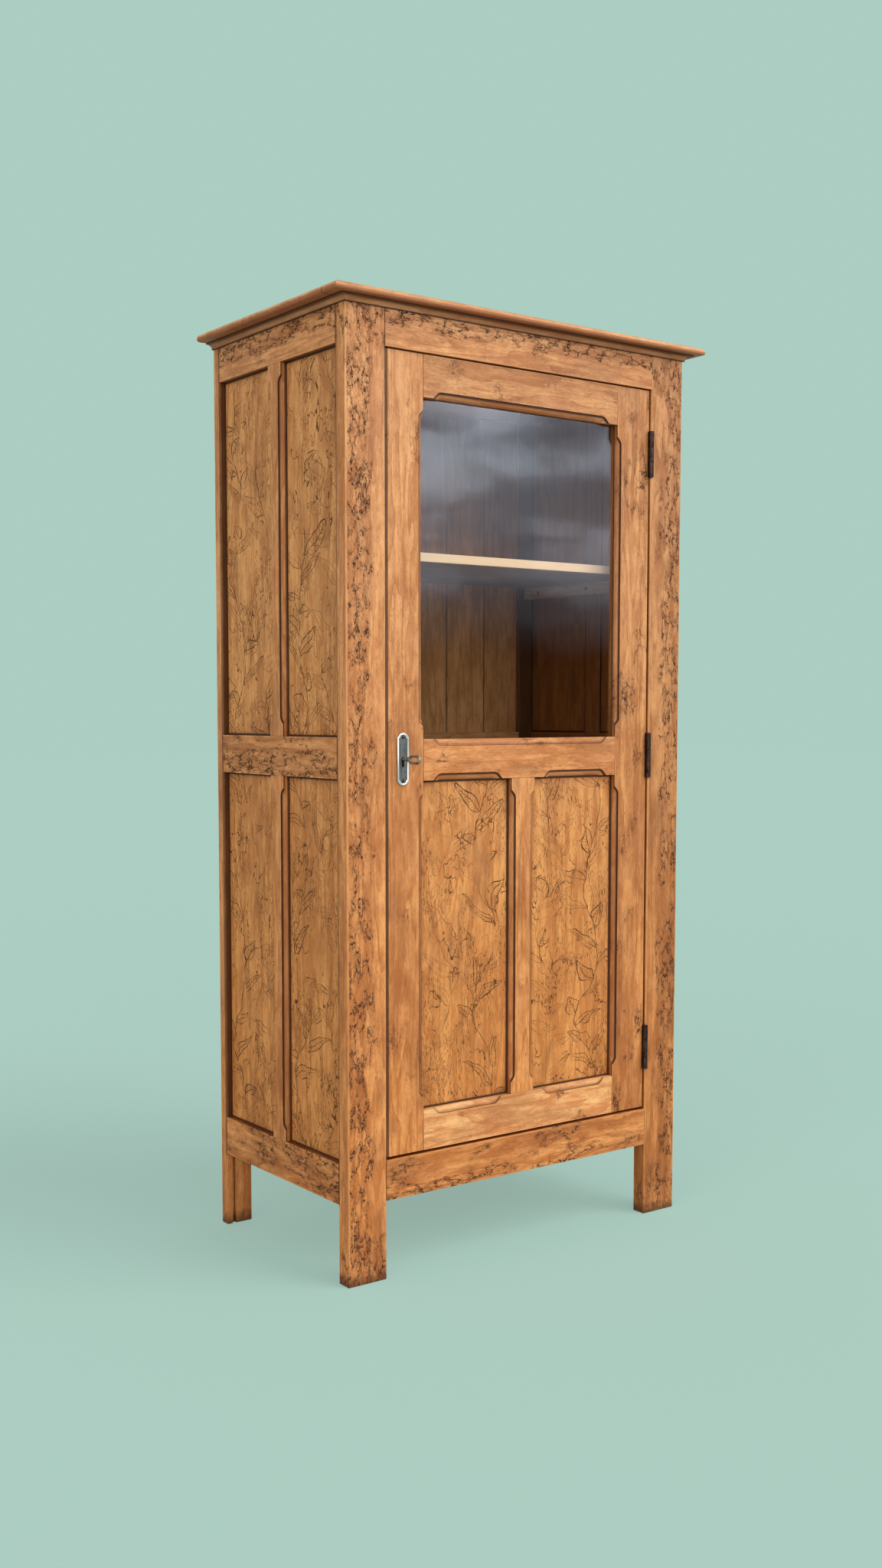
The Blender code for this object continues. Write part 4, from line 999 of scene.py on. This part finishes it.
class CupboardTones(bpy.types.PropertyGroup):
    """Colours of the woods, the burning, the metals and the glass."""

    frame_light: tone("Frame, light", "Lighter tone of the framing", (0.83, 0.43, 0.18))
    frame_deep: tone("Frame, deep", "Deeper tone of the framing", (0.50, 0.2, 0.066))
    panel_light: tone("Panel, light", "Lighter tone of the panels", (0.8, 0.415, 0.155))
    panel_deep: tone("Panel, deep", "Deeper tone of the panels", (0.53, 0.225, 0.072))
    top_light: tone("Top, light", "Lighter tone of the top", (0.84, 0.46, 0.21))
    top_deep: tone("Top, deep", "Deeper tone of the top", (0.6, 0.26, 0.1))
    inside_light: tone("Inside, light", "Lighter tone of the shelf", (0.76, 0.52, 0.32))
    inside_deep: tone("Inside, deep", "Deeper tone of the shelf", (0.55, 0.33, 0.17))
    shelf_edge: tone("Shelf edge", "Planed edge of the shelf", (0.95, 0.67, 0.43))
    back_light: tone("Back, light", "Lighter tone of the back", (0.74, 0.37, 0.155))
    back_deep: tone("Back, deep", "Deeper tone of the back", (0.47, 0.205, 0.074))
    fleck: tone("Fleck", "Short flecks in the grain", (0.27, 0.105, 0.045))
    smudge: tone("Smudge", "Handling marks and bloom", (0.27, 0.125, 0.06))
    worn: tone("Worn", "Rubbed arrises", (0.82, 0.43, 0.19))
    burn_dark: tone("Scorch", "Heart of a scorched vein", (0.06, 0.022, 0.01))
    # Also the colour of painted shade across mouldings, in panel recesses and under the nosing
    burn_warm: tone("Scorch halo", "Browned wood round a scorch", (0.26, 0.08, 0.026))
    # Multiplies the wood towards the floor, so that the paler wood above stands for painted sheen
    rich: tone("Rich", "Deepens the wood near the floor", (0.98, 0.87, 0.68))
    # Multiplies the faces inside and the reveals: dull unwaxed wood with painted shade
    inner: tone("Inner", "Dulls the faces inside", (0.42, 0.33, 0.25))
    blush: tone("Blush", "Pinkish wood where the wax is thin", (0.64, 0.31, 0.15))
    # Also the colour of painted shade in quirks, gaps, seams and under the cornice
    grime: tone("Grime", "Old wax in the quirks and joints", (0.05, 0.018, 0.008))
    # Painted shade inside the keyhole
    soot: tone("Soot", "Oil and dirt in the keyhole", (0.006, 0.005, 0.004))
    burn_line: tone("Drawn line", "Strokes drawn on the panels", (0.085, 0.032, 0.01))
    iron_dark: tone("Iron, dark", "Hinges, in the hollows", (0.004, 0.003, 0.003))
    iron_bright: tone("Iron, rubbed", "Hinges, where rubbed", (0.075, 0.045, 0.04))
    steel_dark: tone("Steel, dark", "Lock, dull", (0.12, 0.125, 0.13))
    steel_bright: tone("Steel, rubbed", "Lock, where rubbed", (0.5, 0.49, 0.47))
    plate_field: tone("Plate field", "Field of the keyhole plate", (0.095, 0.097, 0.095))
    # Rubbed rim of the plate and its painted highlight
    plate_bright: tone("Plate rim", "Rubbed rim of the keyhole plate", (0.85, 0.84, 0.82))
    key_dark: tone("Key, dark", "Key, dull", (0.07, 0.052, 0.045))
    key_bright: tone("Key, rubbed", "Key, where fingers rub it", (0.5, 0.44, 0.4))
    rust: tone("Rust", "Brown rust on the metals", (0.14, 0.055, 0.028))
    glass: tone("Glass", "Tint of the pane", (0.95, 0.97, 0.965))


class CupboardStudio(bpy.types.PropertyGroup):
    """Camera, light and floor."""

    camera_place: bpy.props.FloatVectorProperty(
        name="Camera",
        description="Place of the camera",
        default=(-1.889, -2.492, 1.013),
        subtype="TRANSLATION",
    )
    camera_tilt: angle("Tilt", "Angle of the view from straight down", 85.56)
    camera_turn: angle("Turn", "Turn of the view about the vertical", -36.17)
    lens: number("Lens", "Focal length in millimetres", 36.5)
    shift: bpy.props.FloatVectorProperty(
        name="Shift", description="Shift of the picture", default=(0.0063, 0.0325), size=2
    )
    floor: tone("Floor", "Colour of the floor and the air", (0.413, 0.61, 0.539))
    sky: number("Sky", "Strength of the light from all round", 0.42)
    key: number("Key", "Strength of the lamp from the front right", 1.8)
    front: number("Front", "Strength of the low lamp in front", 1.0)
    fill: number("Fill", "Strength of the lamp from the left", 0.8)
    card: number("Card", "Strength of the card that the glass shows", 6.2)


class CUPBOARD_OT_round_edges(bpy.types.Operator):
    """Shades the mouldings, knuckles and key round, and keeps the edges crisp"""

    bl_idname = "cupboard.round_edges"
    bl_label = "Round edges"

    def execute(self, context):
        sizes = context.scene.cupboard_sizes
        for name in sorted(NODES):
            node = NODES[name]
            bpy.ops.object.select_all(action="DESELECT")
            node.select_set(True)
            context.view_layer.objects.active = node
            bpy.ops.object.shade_smooth()
            weld = node.modifiers.new("weld", "WELD")
            weld.merge_threshold = sizes.weld
            crisp = node.modifiers.new("crisp", "EDGE_SPLIT")
            crisp.split_angle = sizes.edge_angle
        return {"FINISHED"}


class CUPBOARD_OT_finish_framing(bpy.types.Operator):
    """Waxes the posts, rails, stiles and muntins, and scorches their edges"""

    bl_idname = "cupboard.finish_framing"
    bl_label = "Finish framing"

    def execute(self, context):
        for seed, name in enumerate(FRAMING):
            dress(name, framing_finish(name, seed + 1.0, context.scene.cupboard_tones))
        return {"FINISHED"}


class CUPBOARD_OT_finish_panels(bpy.types.Operator):
    """Draws a trail of leaves on each panel"""

    bl_idname = "cupboard.finish_panels"
    bl_label = "Finish panels"

    def execute(self, context):
        scene = context.scene
        for seed, name in enumerate(PANELS):
            dress(name, panel_finish(name, seed + 1.0, scene.cupboard_tones, scene.cupboard_sizes))
        return {"FINISHED"}


class CUPBOARD_OT_finish_boards(bpy.types.Operator):
    """Finishes the top, the shelf, the beads and the back"""

    bl_idname = "cupboard.finish_boards"
    bl_label = "Finish boards"

    def execute(self, context):
        tones = context.scene.cupboard_tones
        groups = (
            (TOPS, tones.top_light, tones.top_deep, True),
            (INSIDE, tones.inside_light, tones.inside_deep, False),
            (BEADS, tones.frame_light, tones.frame_deep, True),
            (BACK, tones.back_light, tones.back_deep, False),
        )
        for start, (names, light, deep, gloss) in enumerate(groups):
            for seed, name in enumerate(names):
                dress(name, plain_finish(name, 20.0 * start + seed, light, deep, tones, gloss))
        return {"FINISHED"}


class CUPBOARD_OT_finish_metal(bpy.types.Operator):
    """Ages the hinges, the lock and the key"""

    bl_idname = "cupboard.finish_metal"
    bl_label = "Finish metal"

    def execute(self, context):
        tones = context.scene.cupboard_tones
        pairs = {
            "hinge_iron": (tones.iron_dark, tones.iron_bright, 0.38, 0.9),
            "lock_steel": (tones.steel_dark, tones.steel_bright, 0.26, 0.3),
            "key_metal": (tones.key_dark, tones.key_bright, 0.28, 0.8),
        }
        for slot, (dark, bright, shine, aged) in pairs.items():
            material = metal_finish(f"aged_{slot}", dark, bright, tones.rust, shine, aged)
            for name in METAL[slot]:
                dress(name, material)
        return {"FINISHED"}


class CUPBOARD_OT_finish_glass(bpy.types.Operator):
    """Glazes the door"""

    bl_idname = "cupboard.finish_glass"
    bl_label = "Finish glass"

    def execute(self, context):
        dress("glass_pane", glass_finish(context.scene.cupboard_tones.glass))
        return {"FINISHED"}


class CUPBOARD_OT_keyhole_plate(bpy.types.Operator):
    """Rounds the rim of the keyhole plate up into a bead round its sunk field"""

    bl_idname = "cupboard.keyhole_plate"
    bl_label = "Keyhole plate"

    def execute(self, context):
        sizes = context.scene.cupboard_sizes
        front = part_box("escutcheon")[0].y
        plate = copied("escutcheon", "keyhole_plate", sizes.weld)
        choose_faces(plate, lambda middle, normal: normal.y < -0.9 and middle.y < front + PLATE_SINK / 2)
        bpy.ops.mesh.inset(thickness=sizes.plate_slope, depth=sizes.plate_rise)
        bpy.ops.mesh.inset(thickness=sizes.plate_slope / 3, depth=sizes.plate_rise / 3)
        bpy.ops.object.mode_set(mode="OBJECT")
        bpy.ops.mesh.customdata_custom_splitnormals_clear()
        bpy.ops.object.shade_smooth_by_angle(angle=sizes.edge_angle)
        tones = context.scene.cupboard_tones
        steel = metal_finish(
            "plate_steel", tones.plate_field, tones.plate_bright, tones.rust, 0.24, 0.3, rim_of="escutcheon"
        )
        painted(plate, steel)
        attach(plate, "door")
        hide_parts("escutcheon")
        return {"FINISHED"}


class CUPBOARD_OT_door_key(bpy.types.Operator):
    """Gives the key a stout, flattened bow with a shoulder where it joins the shank"""

    bl_idname = "cupboard.door_key"
    bl_label = "Door key"

    def execute(self, context):
        sizes = context.scene.cupboard_sizes
        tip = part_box("key")[0].y
        middle = box_of("escutcheon")[0]
        bow_end = tip + sizes.bow_length
        key = copied("key", "door_key", sizes.weld)
        bpy.ops.mesh.select_all(action="SELECT")
        bpy.ops.mesh.bisect(plane_co=(0, bow_end, 0), plane_no=(0, 1, 0), use_fill=True, clear_inner=True)
        choose_faces(key, lambda spot, normal: normal.y < -0.9 and spot.y < bow_end + sizes.weld)
        bpy.ops.mesh.inset(thickness=sizes.bow_wire / 4, depth=0)
        bpy.ops.mesh.extrude_region_move(TRANSFORM_OT_translate={"value": (0, -sizes.bow_neck, 0)})
        bpy.ops.transform.resize(value=NECK_SPREAD, center_override=(middle.x, bow_end, middle.z))
        bpy.ops.object.mode_set(mode="OBJECT")
        bpy.ops.object.select_all(action="DESELECT")
        centre = (middle.x, tip + sizes.bow_length / 2, middle.z)
        bpy.ops.curve.primitive_bezier_circle_add(radius=1, location=centre, rotation=(0, math.pi / 2, 0))
        bow = context.active_object
        tall, long = [size / 2 - sizes.bow_wire for size in (sizes.bow_height, sizes.bow_length)]
        bpy.ops.object.mode_set(mode="EDIT")
        bpy.ops.curve.select_all(action="SELECT")
        bpy.ops.transform.resize(value=(1, long, tall), center_override=centre)
        bpy.ops.object.mode_set(mode="OBJECT")
        bow.data.bevel_depth = sizes.bow_wire
        bow.data.bevel_resolution = 3
        bow.data.resolution_u = 10
        bpy.ops.object.convert(target="MESH")
        bpy.ops.object.transform_apply(location=True, rotation=True, scale=True)
        bow.data.materials.clear()
        key.select_set(True)
        context.view_layer.objects.active = key
        bpy.ops.object.join()
        bpy.ops.mesh.customdata_custom_splitnormals_clear()
        bpy.ops.object.shade_smooth_by_angle(angle=sizes.edge_angle)
        painted(key, NODES["key"].active_material)
        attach(key, "key")
        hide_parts("key")
        return {"FINISHED"}


class CUPBOARD_OT_plate_screws(bpy.types.Operator):
    """Fixes the keyhole plate with a screw above and below the keyhole"""

    bl_idname = "cupboard.plate_screws"
    bl_label = "Plate screws"

    def execute(self, context):
        low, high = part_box("escutcheon")
        inset = PLATE_SCREW_INSET * (high.z - low.z)
        spots = []
        for z, turn in zip((low.z + inset, high.z - inset), PLATE_SCREW_TURNS):
            spots.append((((low.x + high.x) / 2, low.y + PLATE_SINK, z), (0, -1, 0), turn))
        master = slotted_screw("plate_screw", context.scene.cupboard_sizes.plate_screw)
        fasteners("plate_screws", master, spots, "door", "hinge_iron")
        return {"FINISHED"}


class CUPBOARD_OT_lock_screws(bpy.types.Operator):
    """Fixes the lock case to the back of the stile at its corners"""

    bl_idname = "cupboard.lock_screws"
    bl_label = "Lock screws"

    def execute(self, context):
        radius = context.scene.cupboard_sizes.lock_screw
        low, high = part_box("lock_case")
        inset = LOCK_SCREW_INSET * radius
        spots = []
        for x in (low.x + inset, high.x - inset):
            for z in (low.z + inset, high.z - inset):
                slot_turn = 40 * x + 9 * z
                spots.append(((x, high.y - LOCK_SEAT, z), (0, 1, 0), slot_turn))
        master = slotted_screw("lock_screw", radius)
        fasteners("lock_screws", master, spots, "door", "lock_steel")
        return {"FINISHED"}


class CUPBOARD_OT_cleat_screws(bpy.types.Operator):
    """Fixes each shelf cleat to its side with three screws"""

    bl_idname = "cupboard.cleat_screws"
    bl_label = "Cleat screws"

    def execute(self, context):
        spots = []
        for name, facing in (("shelf_cleat_left", 1), ("shelf_cleat_right", -1)):
            low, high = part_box(name)
            face = high.x if facing > 0 else low.x
            for share in CLEAT_SHARES:
                y = low.y + share * (high.y - low.y)
                place = (face - facing * CLEAT_SEAT, y, (low.z + high.z) / 2)
                slot_turn = 5 * share
                spots.append((place, (facing, 0, 0), slot_turn))
        master = slotted_screw("cleat_screw", context.scene.cupboard_sizes.cleat_screw, tall=0.5, wide=0.28)
        fasteners("cleat_screws", master, spots, "carcass", "hinge_iron")
        return {"FINISHED"}


class CUPBOARD_OT_back_nails(bpy.types.Operator):
    """Nails the back boards to the three back rails"""

    bl_idname = "cupboard.back_nails"
    bl_label = "Back nails"

    def execute(self, context):
        radius = context.scene.cupboard_sizes.nail
        spots = []
        for name in ("back_rail_bottom", "back_rail_middle", "back_rail_top"):
            middle = box_of(name)[0]
            for board in range(BOARD_COUNT):
                for share in NAIL_SHARES:
                    x = BACK_LOW.x + (board + share) * BACK_WIDTH / BOARD_COUNT
                    z = middle.z + NAIL_WANDER * math.sin(57 * x + 11 * middle.z)
                    facing = (NAIL_LEAN * math.sin(91 * x), 1, 0)
                    spots.append(((x, BACK_HIGH.y - NAIL_SEAT, z), facing, 30 * x))
        master = nail_head("back_nail", radius, radius * 0.4)
        fasteners("back_nails", master, spots, "carcass", "hinge_iron")
        return {"FINISHED"}


class CUPBOARD_OT_set_studio(bpy.types.Operator):
    """Sets the floor, the lamps, the card that the glass shows, and the camera"""

    bl_idname = "cupboard.set_studio"
    bl_label = "Set studio"

    def execute(self, context):
        studio = context.scene.cupboard_studio
        context.scene.view_settings.view_transform = "Standard"
        self.lay_floor(studio)
        self.light_air(context.scene, studio)
        for lamp in LAMP_WAYS:
            self.hang_lamp(lamp, getattr(studio, lamp))
        self.stand_card(studio)
        self.place_camera(context.scene, studio)
        return {"FINISHED"}

    def lay_floor(self, studio):
        """A floor in the colour of the air, which keeps the shadow and throws no colour on the wood."""
        bpy.ops.mesh.primitive_plane_add(size=FLOOR_SIZE)
        floor = bpy.context.active_object
        floor.name = "studio_floor"
        finish = Finish("studio_floor")
        seen = finish.rays(*SHOWN_RAYS)
        levels = [studio.sky * channel for channel in SKY_WHITE]
        for lamp, way in LAMP_WAYS.items():
            fall = getattr(studio, lamp) * Vector(way).normalized().z / math.pi
            levels = [level + fall * tint for level, tint in zip(levels, LAMP_TINTS[lamp])]
        shown = [channel / level for channel, level in zip(studio.floor, levels)]
        colour = finish.mix(seen, FLOOR_BOUNCE, shown)
        lit = finish.node("ShaderNodeBsdfDiffuse", {"Color": colour}, "BSDF")
        flat = finish.node("ShaderNodeEmission", {"Color": rgba(studio.floor)}, "Emission")
        mixed = finish.node("ShaderNodeMixShader", {0: seen * FLOOR_FLAT, 1: lit, 2: flat})
        floor.data.materials.append(finish.output(mixed))

    def light_air(self, scene, studio):
        """Even light from all round, which the eye, shines and glass show in the floor's colour."""
        air = Finish("studio_air", bpy.data.worlds.new("studio_air"))
        scene.world = air.material
        light = air.node("ShaderNodeBackground", {"Color": rgba(SKY_WHITE), "Strength": studio.sky})
        shown = air.node("ShaderNodeBackground", {"Color": rgba(studio.floor)})
        mixed = air.node("ShaderNodeMixShader", {0: air.rays(*SHOWN_RAYS), 1: light, 2: shown})
        air.node("ShaderNodeOutputWorld", {"Surface": mixed})

    def hang_lamp(self, name, strength):
        """A soft sun that shines from its way."""
        way = Vector(LAMP_WAYS[name]).normalized()
        bpy.ops.object.light_add(type="SUN", location=way * LAMP_DISTANCE)
        lamp = bpy.context.active_object
        lamp.name = f"{name}_lamp"
        lamp.rotation_euler = way.to_track_quat("Z", "Y").to_euler()
        lamp.data.energy = strength
        lamp.data.color = LAMP_TINTS[name]
        lamp.data.angle = LAMP_SPREAD

    def stand_card(self, studio):
        """A tall grey-blue card, bright above, that only shines and glass show."""
        upright = (math.pi / 2, 0, CARD_TURN)
        bpy.ops.mesh.primitive_plane_add(size=CARD_SIZE, location=CARD_PLACE, rotation=upright)
        card = bpy.context.active_object
        card.name = "studio_card"
        bpy.ops.object.transform_apply(location=True, rotation=True, scale=True)
        finish = Finish("studio_card")
        x, _, z = finish.axes(finish.place())
        cloud = finish.step(finish.noise(finish.place(), 0.8, 0.36, detail=5.0), 0.4, 0.68) * 0.65 + 0.35
        spots = zip((x, z), CARD_PATCH["place"], CARD_PATCH["half"])
        aside, above = [(value - middle) / half for value, middle, half in spots]
        patch = finish.step((aside * aside + above * above) ** 0.5, 1.0, 0.0)
        rise = finish.step(z, *CARD_RISE) * (finish.step(x, *CARD_SIDE) * 0.4 + 0.6)
        bright = finish.clamped(rise * (cloud * 0.8 + patch * 0.6))
        colour = finish.mix(bright, CARD_DARK, CARD_BRIGHT)
        shine = finish.node("ShaderNodeEmission", {"Color": colour, "Strength": studio.card}, "Emission")
        card.data.materials.append(finish.output(shine))
        card.visible_camera = False
        card.visible_diffuse = False
        card.visible_shadow = False

    def place_camera(self, scene, studio):
        bpy.ops.object.camera_add(
            location=studio.camera_place, rotation=(studio.camera_tilt, 0.0, studio.camera_turn)
        )
        camera = bpy.context.active_object
        camera.name = "studio_camera"
        camera.data.lens = studio.lens
        camera.data.sensor_width = SENSOR
        camera.data.shift_x, camera.data.shift_y = studio.shift
        scene.camera = camera


GROUPS = (
    ("cupboard_sizes", CupboardSizes),
    ("cupboard_tones", CupboardTones),
    ("cupboard_studio", CupboardStudio),
)
OPERATORS = (
    CUPBOARD_OT_round_edges,
    CUPBOARD_OT_finish_framing,
    CUPBOARD_OT_finish_panels,
    CUPBOARD_OT_finish_boards,
    CUPBOARD_OT_finish_metal,
    CUPBOARD_OT_finish_glass,
    CUPBOARD_OT_keyhole_plate,
    CUPBOARD_OT_door_key,
    CUPBOARD_OT_plate_screws,
    CUPBOARD_OT_lock_screws,
    CUPBOARD_OT_cleat_screws,
    CUPBOARD_OT_back_nails,
    CUPBOARD_OT_set_studio,
)


class CUPBOARD_PT_pieces(bpy.types.Panel):
    """Lists the cupboard's operators, sizes and colours"""

    bl_idname = "CUPBOARD_PT_pieces"
    bl_label = "Cupboard"
    bl_space_type = "VIEW_3D"
    bl_region_type = "UI"
    bl_category = "Cupboard"

    def draw(self, context):
        for operator in OPERATORS:
            self.layout.operator(operator.bl_idname)
        for attribute, group in GROUPS:
            column = self.layout.column()
            column.label(text=group.__doc__)
            for name in group.__annotations__:
                column.prop(getattr(context.scene, attribute), name)


def register():
    for attribute, group in GROUPS:
        bpy.utils.register_class(group)
        setattr(bpy.types.Scene, attribute, bpy.props.PointerProperty(type=group))
    for operator in OPERATORS:
        bpy.utils.register_class(operator)
    bpy.utils.register_class(CUPBOARD_PT_pieces)


def unregister():
    bpy.utils.unregister_class(CUPBOARD_PT_pieces)
    for operator in reversed(OPERATORS):
        bpy.utils.unregister_class(operator)
    for attribute, group in reversed(GROUPS):
        delattr(bpy.types.Scene, attribute)
        bpy.utils.unregister_class(group)


def main():
    register()
    for operator in OPERATORS:
        space, action = operator.bl_idname.split(".")
        getattr(getattr(bpy.ops, space), action)()


if __name__ == "__main__":
    main()
